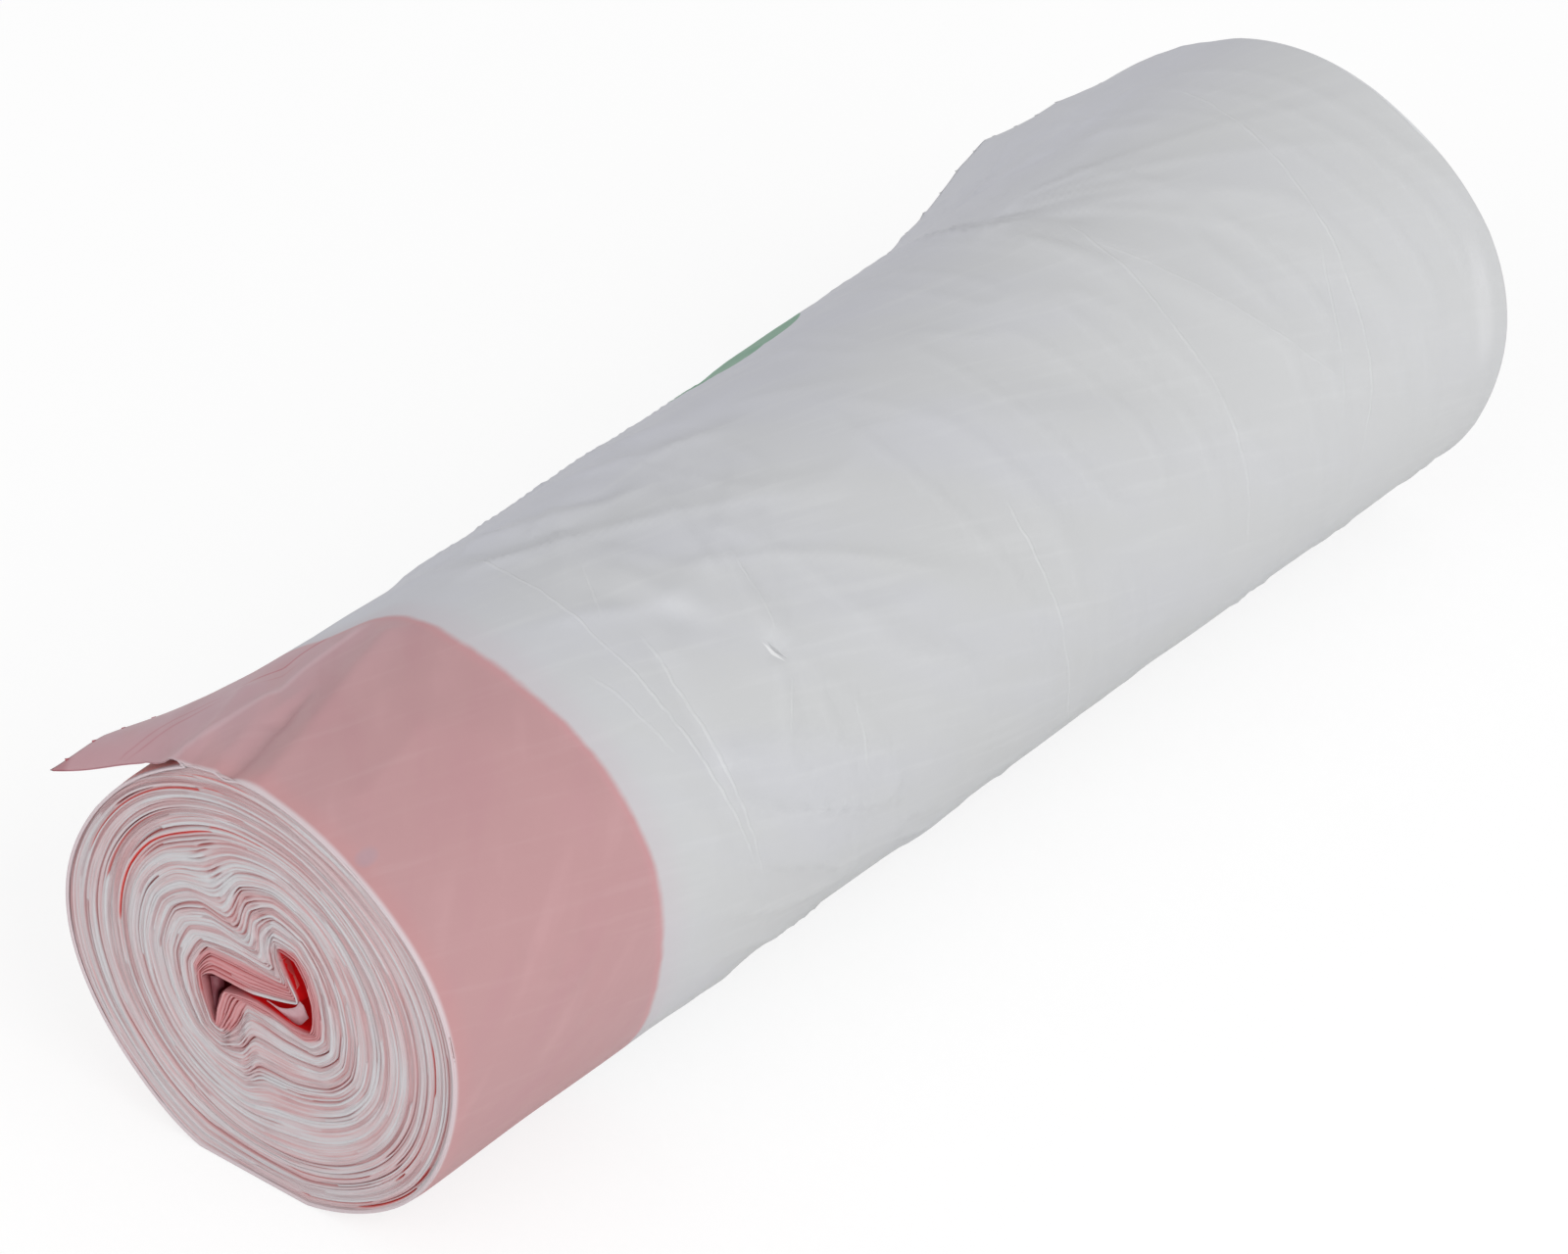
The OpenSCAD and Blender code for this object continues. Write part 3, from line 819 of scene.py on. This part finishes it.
def cover_section(wound, along, stations, thickness):
    """Points round the cover at each distance: the last turn, the top of the loose end and its underside."""
    turn = OUTERMOST_TURN - 1 + (wound - wound[0])/360
    turn[1:] += thinning(wound[1:] - wound[0])
    turn[0] += thinning(wound[1] - wound[0])
    cover = np.broadcast_to(turn_point(wound, turn), (len(stations), len(wound), 2))
    share, far = np.meshgrid(along, stations)
    angle = share*LOOSE_LENGTH/HALF_WIDTH*180/math.pi
    settle = smooth_step(share, 0, 0.25)
    top = loose_point(share, angle, far)
    going_on = turn_point(LOOSE_ANGLE + angle, OUTERMOST_TURN + angle/360)
    top = top*settle[..., None] + (1 - settle[..., None])*going_on
    under = top[:, :-1][:, ::-1]
    step_out = np.gradient(top, axis=1)
    normal = np.stack([step_out[..., 1], -step_out[..., 0]], -1)
    normal /= np.linalg.norm(normal, axis=-1, keepdims=True)
    under = under - thickness*normal[:, :-1][:, ::-1]
    return np.concatenate([cover, top, under], 1)


def cover_normals(points):
    """Outward directions of the cover, and at its ends those of the rows next to them."""
    du = np.roll(points, -1, 1) - np.roll(points, 1, 1)
    dv = np.gradient(points, axis=0)
    dv[:4], dv[-5:] = dv[4], dv[-6]
    n = np.cross(dv, du)
    return n/np.maximum(np.linalg.norm(n, axis=-1, keepdims=True), 1e-9)


def cover_points(shape):
    """Points of the film cover, their directions and distances, and the column of the loose end's edge."""
    thickness = shape.loose_thickness/MM
    stations = np.concatenate([
        [0.25, 0.02, 0.02, 0.3, 0.7, 1.2, 1.8, 2.5, 3.2],
        np.arange(4, TAPE_END + 0.1, 1.0),
        np.linspace(TAPE_END + 1, ROLL_LENGTH - 2.5, 186),
        ROLL_LENGTH - np.array([1.6, 0.9, 0.4, 0.1, 0.02, 0.1, 0.4]),
    ])

    # The first and last rows are sunk, so that the film goes round the edge of the roll
    sunk = np.zeros(len(stations))
    sunk[:3] = [0.45, 0.18, 0.05]
    sunk[-4:] = [0.02, 0.1, 0.25, 0.5]

    wound = np.linspace(LOOSE_ANGLE - 360, LOOSE_ANGLE, 289)
    along = np.linspace(0, 1, 44)[1:]
    back = along[:-1][::-1]
    turned = along*LOOSE_LENGTH/HALF_WIDTH*180/math.pi
    directions = np.concatenate([wound, LOOSE_ANGLE + turned, LOOSE_ANGLE + turned[:-1][::-1]])
    grid_direction, grid_station = np.meshgrid(directions, stations)

    section = cover_section(wound, along, stations, thickness)
    points = place(section, grid_station)
    slack = sum(deep*np.exp(-(turned_from(at, grid_direction)/spread)**2) for at, deep, spread in SLACK)
    slack = slack*smooth_step(grid_station, 2, 25)*smooth_step(-grid_station, -212, -180)
    points[..., 0] -= slack*np.cos(np.radians(grid_direction))
    points[..., 2] -= slack*np.sin(np.radians(grid_direction))

    # The very edge of the loose end moves with the skins on its two sides
    outward = cover_normals(points)
    tip = len(wound) + len(along) - 1
    outward[:, tip] = outward[:, tip - 1]
    outward[:, tip + 1] = outward[:, tip + 2]

    # Folds stand out on both skins alike, and the loose end stays clear of the roll under it
    side = np.concatenate([np.ones(len(wound) + len(along)), -np.ones(len(back))])
    height = film_height(grid_direction, grid_station, shape)
    fade = smooth_step(grid_direction, LOOSE_ANGLE - 360, LOOSE_ANGLE - 350)
    clear = smooth_step(points[..., 2], 0.3, 7)
    height = height*fade*clear*end_share(grid_direction, grid_station)
    gone = np.clip((grid_direction - LOOSE_ANGLE)/turned[-1], 0, 1)*LOOSE_LENGTH
    room = 0.15 + np.interp(grid_station, *zip(*LIFT))*gone**2/(2*HALF_WIDTH)
    room += 2*(1 - smooth_step(grid_direction, LOOSE_ANGLE - 9, LOOSE_ANGLE - 3))
    height = np.maximum(height, -room)*side
    ripple = smooth_step(grid_direction, LOOSE_ANGLE + 4, LOOSE_ANGLE + 40)
    height += 0.5*ripple*side*wave(9, grid_station/9, grid_direction/60)
    loose = grid_direction > LOOSE_ANGLE + 0.5
    sink = np.where(loose, np.minimum(sunk[:, None]*2, 1)*thickness/2, sunk[:, None])
    points = points + outward*(height - sink)[..., None]
    points[..., 2] = np.maximum(points[..., 2], 0.02)
    return points, grid_direction, grid_station, tip


def torn_nibs(points, stations, tip, pitch):
    """Points, faces and distances of the nibs that the perforation leaves on the loose edge."""
    nibs, faces, far = [], [], []
    for at in np.arange(0.6*pitch, ROLL_LENGTH - 3, pitch):
        edge, before, beside = (
            np.array([np.interp(at + ahead, stations, points[:, column, axis]) for axis in range(3)])
            for column, ahead in ((tip, 0), (tip - 2, 0), (tip, 1)))
        out = (edge - before)/np.linalg.norm(edge - before)
        side = (beside - edge)/np.linalg.norm(beside - edge)
        up = np.cross(side, out)
        tall = (0.5 + 0.2*float(wave(77, at)))*(1 if at < TAPE_END else 0.6)
        corners = [
            edge - 0.3*out + 0.35*side*a + 0.08*up*b for a, b in ((-1, -1), (1, -1), (1, 1), (-1, 1))]
        first = len(nibs)
        nibs += corners + [edge + tall*out + 0.15*side + 0.1*up]
        faces += [(first + 3, first + 2, first + 1, first)]
        faces += [(first + k, first + (k + 1) % 4, first + 4) for k in range(4)]
        far += [at]*5
    return nibs, faces, far


class ROLL_OT_film_cover(Operator):
    """Adds the outermost film with its loose end, in one piece over the tape and one beyond it"""

    bl_idname = "roll.film_cover"
    bl_label = "Film cover"

    def execute(self, context):
        shape = context.scene.roll_shape
        points, grid_direction, grid_station, tip = cover_points(shape)
        stations = grid_station[:, 0]
        material = film_material("film_over_tape", context.scene.roll_colours)
        split = int(np.argmin(abs(stations - TAPE_END)))
        for name, slot, node, rows in (
            ("hem_band", "pink_tape", "draw_tape", slice(0, split + 1)),
            ("film_cover", "white_film", "film_roll", slice(split, len(stations))),
        ):
            part = points[rows]
            faces = grid_quads(len(part), part.shape[1], closed=True)
            attributes = {"direction": grid_direction[rows], "station": grid_station[rows]}
            add_piece(name, part.reshape(-1, 3), faces.tolist(), attributes, material, slot, node)

        nibs, faces, far = torn_nibs(points, stations, tip, shape.nib_pitch/MM)
        add_piece("perforation_nibs", nibs, faces, {"station": far}, nib_material("torn_nibs"), "white_film")
        return {"FINISHED"}


def thinning(beyond):
    """How much of the last turn is left under the loose end, at an angle beyond its root."""
    return np.where(beyond <= 0, 1, 0.86*np.clip(1 - beyond/WEDGE_ANGLE, 0, 1)**2)


def stepped(seed, angle, cells):
    """Random numbers between -1 and 1 that jump from one to the next at every so many degrees."""
    table = np.random.default_rng(seed).uniform(-1, 1, 997)
    return table[np.floor(angle/cells + 0.61*seed).astype(int) % len(table)]


def ply_pattern(reach, shape, seed, plain):
    """Shift, openness, groove depth, crest, tone, redness and pinkness of each ply along the winding."""
    plies = shape.plies

    def along(kind, angle, cells):
        return np.stack([wave(seed + 31*kind + j, angle/cells, 0.37*kind) for j in range(plies)], 1)

    def jumps(kind, angle, cells):
        return np.stack([stepped(seed + 37*kind + j, angle, cells) for j in range(plies)], 1)

    # Plies lie against each other in packs, and few of the grooves between them are open
    jitter = 0.26*along(1, reach, 60) + 0.1*along(2, reach, 17)
    open_wave = 0.7*along(3, reach, 75) + 0.3*along(4, reach, 24) + 0.35*jumps(5, reach, 95)
    openness = 0.1 + 1.25*np.clip(open_wave, 0, 2)**1.4 + 0.08*along(9, reach, 10)
    openness = np.clip(openness, 0.04, 1.2)
    red = np.zeros(reach.shape + (plies,))
    turn = (reach/360)[:, None] + np.arange(plies)/plies
    direction = np.broadcast_to(once_round(reach)[:, None], turn.shape)
    core = np.zeros(turn.shape)

    # Red and pink show only where the tape is
    if not plain:
        quiet = smooth_step(direction, 90, 115)*smooth_step(-direction, -220, -190)
        openness = openness*(1 - 0.55*quiet*smooth_step(turn, 9.6, 11.2))
        for at, first, last, strength, opened in ACCENTS:
            near = abs(turn - at) < 0.5/plies
            here = once_round(direction - first + 4)
            width = last - first + 8
            ends = smooth_step(here, 0, 4)*smooth_step(-here, -width, -width + 4)*(here < width)
            red = np.maximum(red, near*ends*strength)
            openness = np.where(near, openness*(1 - ends) + ends*np.maximum(openness, opened), openness)
        pink = np.interp(direction, *zip(*PINK_TURNS))
        core = smooth_step(-turn, -pink - 0.25, -pink + 0.15)
        core *= 1 - (turn < 0.5)*smooth_step(direction, 98, 104)*smooth_step(-direction, -146, -136)
        openness = np.maximum(openness, core*(0.45 + 0.35*along(10, reach, 30)))

    # Pleats open and lift the plies that they cross
    pleats = np.zeros(turn.shape)
    for (first, first_turn), (last, last_turn), spread in PLEATS:
        share = np.clip((turn - first_turn)/(last_turn - first_turn), 0, 1)
        middle = first + (last - first)*share + 3.5*jumps(11, reach, 360)
        off = abs(turned_from(middle, direction))
        inside = smooth_step(turn, first_turn - 0.3, first_turn)
        inside = inside*smooth_step(-turn, -last_turn - 0.3, -last_turn)
        pleats = np.maximum(pleats, smooth_step(-off, -1.4*spread, 0)*inside)
    openness = np.clip(openness + pleats*(0.08 + 0.42*jumps(12, reach, 360)), 0.04, 1.5)
    depth = shape.groove_depth/MM*(0.1 + openness)*(1.6 if plain else 1)
    level = jumps(6, reach, 110)
    crest = 0.42 - 0.24*level + 0.16*along(7, reach, 45) + 0.05*along(8, reach, 9)
    crest += 0.25*pleats*along(13, reach, 4)
    tone = 0.1 - 0.34*level + 0.16*along(14, reach, 50)
    return jitter, openness, depth, crest, tone, red, core


def end_relief(shape, seed, plain):
    """Points, faces and tints of the plies that show at one end of the roll."""
    step = 1.5
    lap = round(360/step)
    plies = shape.plies
    spiral = np.arange(START_ANGLE, END_ANGLE + WEDGE_ANGLE + 0.1, step, dtype=float)

    # Points across a ply, and how much of the groove beside it each of them has
    profile = np.array([0, 0.12, 0.3, 0.66, 0.88])
    open_share = np.array([1, 0.5, 0.0, 0.0, 0.5])

    # The pattern goes a lap further than the plies, because each turn ends at the next one's first ply
    reach = np.concatenate([spiral, spiral[-1] + step*np.arange(1, lap + 1)])
    jitter, openness, depth, crest, tone, red, core = ply_pattern(reach, shape, seed, plain)
    count = len(spiral)

    def next_ply(values):
        after = np.roll(values, -1, 1)
        after[:-lap, -1] = values[lap:, 0]
        return after

    def rows(values):
        return values[:count, :, None]

    low, high = rows(jitter), rows(next_ply(jitter))
    number = np.arange(plies)[None, :, None]
    height = (number + profile + low*(1 - profile) + high*profile)/plies
    first_depth, last_depth = rows(depth), rows(next_ply(depth))
    groove = np.where(profile < 0.5, first_depth, last_depth)
    station = rows(crest)*(1 - open_share) + open_share*groove
    gap = open_share*np.where(profile < 0.5, rows(openness), rows(next_ply(openness)))
    reddened = np.where(profile < 0.4, rows(red), np.where(profile > 0.8, rows(next_ply(red)), 0))
    reddened = np.broadcast_to(reddened, station.shape)*np.array([1, 1, 0.25, 0, 0.9])

    # The last turn thins out under the loose end
    left = thinning(spiral - END_ANGLE)
    turns = spiral[:, None, None]/360 + height*left[:, None, None]
    angles = np.broadcast_to(spiral[:, None, None], turns.shape)
    shape_of = (count, plies*len(profile))
    turns, angles, station, gap, reddened, tone, core = (
        np.broadcast_to(v, (count, plies, len(profile))).reshape(shape_of)
        for v in (turns, angles, station, gap, reddened, rows(tone), rows(core)))

    # The rim joins the last turn to the film cover
    rim_angles = spiral[-lap:]
    rim_turns = rim_angles/360 + left[-lap:]
    if not plain:
        swell = rim_height(rim_angles - END_ANGLE + LOOSE_ANGLE, shape)
        rim_turns = rim_turns + swell*(rim_angles < END_ANGLE)/SPACING
    column = np.arange(count)
    per = shape_of[1]
    outer = np.where(column + lap < count, (column + lap)*per, count*per + column - (count - lap))
    index = np.concatenate([column[:, None]*per + np.arange(per), outer[:, None]], 1)
    faces = np.stack([index[:-1, :-1], index[:-1, 1:], index[1:, 1:], index[1:, :-1]], -1).reshape(-1, 4)

    def whole(values, rim):
        return np.concatenate([values.ravel(), rim])

    one = np.ones(lap)
    angles, turns = whole(angles, rim_angles), whole(turns, rim_turns)
    station = whole(station, 0.2*one)
    end = place(turn_point(angles, turns), ROLL_LENGTH - station if plain else station)
    if not plain:
        faces = faces[:, ::-1]
    attributes = {
        "turn": turns, "gap": whole(gap, 0.1*one), "red": whole(reddened, 0*one), "direction": angles,
        "tone": whole(tone, 0*one), "core": whole(core, 0*one),
    }
    return end, faces.tolist(), attributes


class ROLL_OT_turns(Operator):
    """Adds the fine plies of the turns at both ends"""

    bl_idname = "roll.turns"
    bl_label = "Turns at the ends"

    def execute(self, context):
        shape = context.scene.roll_shape
        colours = context.scene.roll_colours
        for name, seed, plain, nodes in (
            ("taped", 400, False, ("film_roll", "draw_tape")),
            ("plain", 900, True, ("film_roll",)),
        ):
            points, faces, attributes = end_relief(shape, seed, plain)
            material = turns_material(f"ply_edges_{name}", colours, not plain)
            add_piece(f"turns_{name}_end", points, faces, attributes, material, "white_film", *nodes)
        return {"FINISHED"}


def folded_sheet(lines, thickness):
    """Thin closed sheet through lines of points at given depths behind the taped end."""
    share = np.linspace(0, 1, 25)
    sections = []
    for depth, line in lines:
        line = np.array(line, float)
        tangent = np.gradient(line, axis=0)
        k = np.minimum((share*(len(line) - 1)).astype(int), len(line) - 2)
        f = (share*(len(line) - 1) - k)[:, None]
        chord = line[k + 1] - line[k]
        curve = line[k] + chord*f
        curve += f*(1 - f)*((tangent[k] - chord)*(1 - f) - (tangent[k + 1] - chord)*f)
        sections.append(np.concatenate([curve, np.full((len(share), 1), depth)], 1))
    sections = np.array(sections)
    flat = place(sections[..., :2], sections[..., 2])
    down, across = np.gradient(flat, axis=0), np.gradient(flat, axis=1)
    normal = np.cross(across, down)
    normal /= np.linalg.norm(normal, axis=-1, keepdims=True)
    ring = np.concatenate([flat + normal*thickness/2, (flat - normal*thickness/2)[:, ::-1]], 1)
    rows, columns = ring.shape[:2]
    faces = grid_quads(rows, columns, closed=True).tolist()
    half = columns//2
    for row in (0, rows - 1):
        first = row*columns
        last = first + columns - 1
        caps = [(first + k, first + k + 1, last - k - 1, last - k) for k in range(half - 1)]
        faces += [cap[::-1] for cap in caps] if row else caps
    return ring.reshape(-1, 3), faces


class ROLL_OT_hollow(Operator):
    """Adds the wall of the hollow: the tape that lines it and the film behind"""

    bl_idname = "roll.hollow"
    bl_label = "Hollow"

    def execute(self, context):
        colours = context.scene.roll_colours
        spiral = np.arange(START_ANGLE, START_ANGLE + 361, 2, dtype=float)
        step_turns = np.linspace(1, 0, 9)[1:-1]
        turns = np.concatenate([spiral/360, START_ANGLE/360 + step_turns])
        angles = np.concatenate([spiral, np.full(len(step_turns), spiral[-1])])
        section = turn_point(angles, turns)
        for name, slot, node, tape, stations in (
            ("tape_lining", "pink_tape", "draw_tape", True,
             np.concatenate([[0.3, 0.6, 1, 1.5], np.arange(2, 15, 1), np.linspace(16, TAPE_END, 9)])),
            ("film_lining", "white_film", "film_roll", False,
             np.concatenate([np.linspace(TAPE_END, ROLL_LENGTH - 12, 30),
                             ROLL_LENGTH - np.array([9, 6, 4, 2.5, 1.5, 0.8, 0.3])])),
        ):
            grid_angle, grid_station = np.meshgrid(angles, stations)
            points = place(np.broadcast_to(section, grid_angle.shape + (2,)), grid_station)
            du = np.roll(points, -1, 1) - np.roll(points, 1, 1)
            outward = np.stack([-du[..., 2], 0*du[..., 0], du[..., 0]], -1)
            outward /= np.maximum(np.linalg.norm(outward, axis=-1, keepdims=True), 1e-9)
            ends = smooth_step(grid_station, 0.3, 4)*smooth_step(ROLL_LENGTH - grid_station, 0.3, 5)
            pleat = wave(61, grid_angle/9, grid_station/70)*0.3 + wave(62, grid_angle/4, grid_station/30)*0.15
            points = points + outward*(ends*(pleat - 0.2))[..., None]
            faces = grid_quads(len(stations), len(angles), closed=True)[:, ::-1].tolist()
            attributes = {"direction": grid_angle, "station": grid_station}
            material = lining_material(name, colours, tape)
            add_piece(name, points.reshape(-1, 3), faces, attributes, material, slot, node)

        # Folds of the web that lie across the hollow, each a thin closed sheet
        for name, lines in INNER_FOLDS:
            points, faces = folded_sheet(lines, FOLD_THICKNESS)
            material = fold_material(f"{name}_fold", name == "pale")
            add_piece(f"{name}_inner_fold", points, faces, {}, material, "pink_tape")
        return {"FINISHED"}


class ROLL_OT_stage(Operator):
    """Adds the floor, the lamps, the even sky and the camera"""

    bl_idname = "roll.stage"
    bl_label = "Stage"

    def execute(self, context):
        scene = context.scene
        light = scene.roll_stage
        mesh = bpy.data.meshes.new("floor")
        corners = [(x*FLOOR_REACH, y*FLOOR_REACH, -0.1*MM) for x, y in ((-1, -1), (1, -1), (1, 1), (-1, 1))]
        mesh.from_pydata(corners, [], [(0, 1, 2, 3)])
        floor = bpy.data.objects.new("floor", mesh)
        scene.collection.objects.link(floor)
        shader = Shader("floor_paper")
        grain = shader.noise(shader.node("TexCoord", output="Object"), 60, 3)
        paper = shader.mix(grain, linear(247, 247, 247), linear(250, 250, 250))
        diffuse = shader.node("BsdfDiffuse", inputs={"Color": paper})
        glow = shader.node("Emission", inputs={"Color": (1, 1, 1, 1), "Strength": FLOOR_GLOW})
        path = shader.node("LightPath", output="Is Camera Ray")
        shown = shader.node("MixShader", inputs={0: path*FLOOR_GLOW_SHARE, 1: diffuse, 2: glow})
        shader.node("OutputMaterial", inputs={"Surface": shown})
        mesh.materials.append(shader.material)

        world = bpy.data.worlds.new("even_sky")
        world.use_nodes = True
        scene.world = world
        nodes, links = world.node_tree.nodes, world.node_tree.links
        nodes.clear()
        sky = nodes.new("ShaderNodeBackground")
        sky.inputs["Color"].default_value = (1, 1, 1, 1)
        sky.inputs["Strength"].default_value = light.sky
        seen = nodes.new("ShaderNodeBackground")
        seen.inputs["Color"].default_value = (1, 1, 1, 1)
        path = nodes.new("ShaderNodeLightPath")
        mixed = nodes.new("ShaderNodeMixShader")
        output = nodes.new("ShaderNodeOutputWorld")
        links.new(path.outputs["Is Camera Ray"], mixed.inputs[0])
        links.new(sky.outputs[0], mixed.inputs[1])
        links.new(seen.outputs[0], mixed.inputs[2])
        links.new(mixed.outputs[0], output.inputs[0])

        for name, power, size, at in (
            ("key_lamp", light.key, 1.1, (1.3, -0.35, 0.9)),
            ("fill_lamp", light.fill, 1.2, (0.1, -1.5, 1.0)),
        ):
            lamp = bpy.data.lights.new(name, "AREA")
            lamp.energy = power
            lamp.size = size
            stand = bpy.data.objects.new(name, lamp)
            stand.location = at
            stand.rotation_euler = (Vector((0, 0, 0.03)) - stand.location).to_track_quat("-Z", "Y").to_euler()
            scene.collection.objects.link(stand)

        camera = bpy.data.cameras.new("photo_camera")
        camera.sensor_width = CAMERA_SENSOR
        camera.lens = CAMERA_LENS
        camera.clip_start = 0.05
        camera.clip_end = 50
        forward = Vector(CAMERA_FORWARD).normalized()
        right = Vector(CAMERA_RIGHT).normalized()
        up = right.cross(forward)
        stand = bpy.data.objects.new("photo_camera", camera)
        turned = Matrix((right, up, -forward)).transposed().to_4x4()
        stand.matrix_world = Matrix.Translation(CAMERA_AT) @ turned
        scene.collection.objects.link(stand)
        scene.camera = stand
        scene.view_settings.view_transform = "Standard"
        return {"FINISHED"}


class ROLL_PT_panel(Panel):
    """Sizes, colours and light of the roll, and its operators"""

    bl_idname = "ROLL_PT_panel"
    bl_label = "Roll of litter bags"
    bl_space_type = "VIEW_3D"
    bl_region_type = "UI"
    bl_category = "Roll"

    def draw(self, context):
        column = self.layout.column()
        for group in (context.scene.roll_shape, context.scene.roll_colours, context.scene.roll_stage):
            for name in group.bl_rna.properties.keys():
                if name not in ("name", "rna_type"):
                    column.prop(group, name)
        for operator in OPERATORS:
            column.operator(operator.bl_idname)


GROUPS = (("roll_shape", RollShape), ("roll_colours", RollColours), ("roll_stage", RollStage))
OPERATORS = (ROLL_OT_stage, ROLL_OT_film_cover, ROLL_OT_turns, ROLL_OT_hollow)


def register():
    """Makes the properties, the operators and the panel known to Blender."""
    for name, group in GROUPS:
        bpy.utils.register_class(group)
        setattr(bpy.types.Scene, name, PointerProperty(type=group))
    for operator in OPERATORS:
        bpy.utils.register_class(operator)
    bpy.utils.register_class(ROLL_PT_panel)


def unregister():
    """Takes the properties, the operators and the panel out again."""
    bpy.utils.unregister_class(ROLL_PT_panel)
    for operator in reversed(OPERATORS):
        bpy.utils.unregister_class(operator)
    for name, group in reversed(GROUPS):
        delattr(bpy.types.Scene, name)
        bpy.utils.unregister_class(group)


def main():
    """Builds the stage and the pieces."""
    register()
    bpy.ops.roll.stage()
    bpy.ops.roll.film_cover()
    bpy.ops.roll.turns()
    bpy.ops.roll.hollow()


if __name__ == "__main__":
    main()
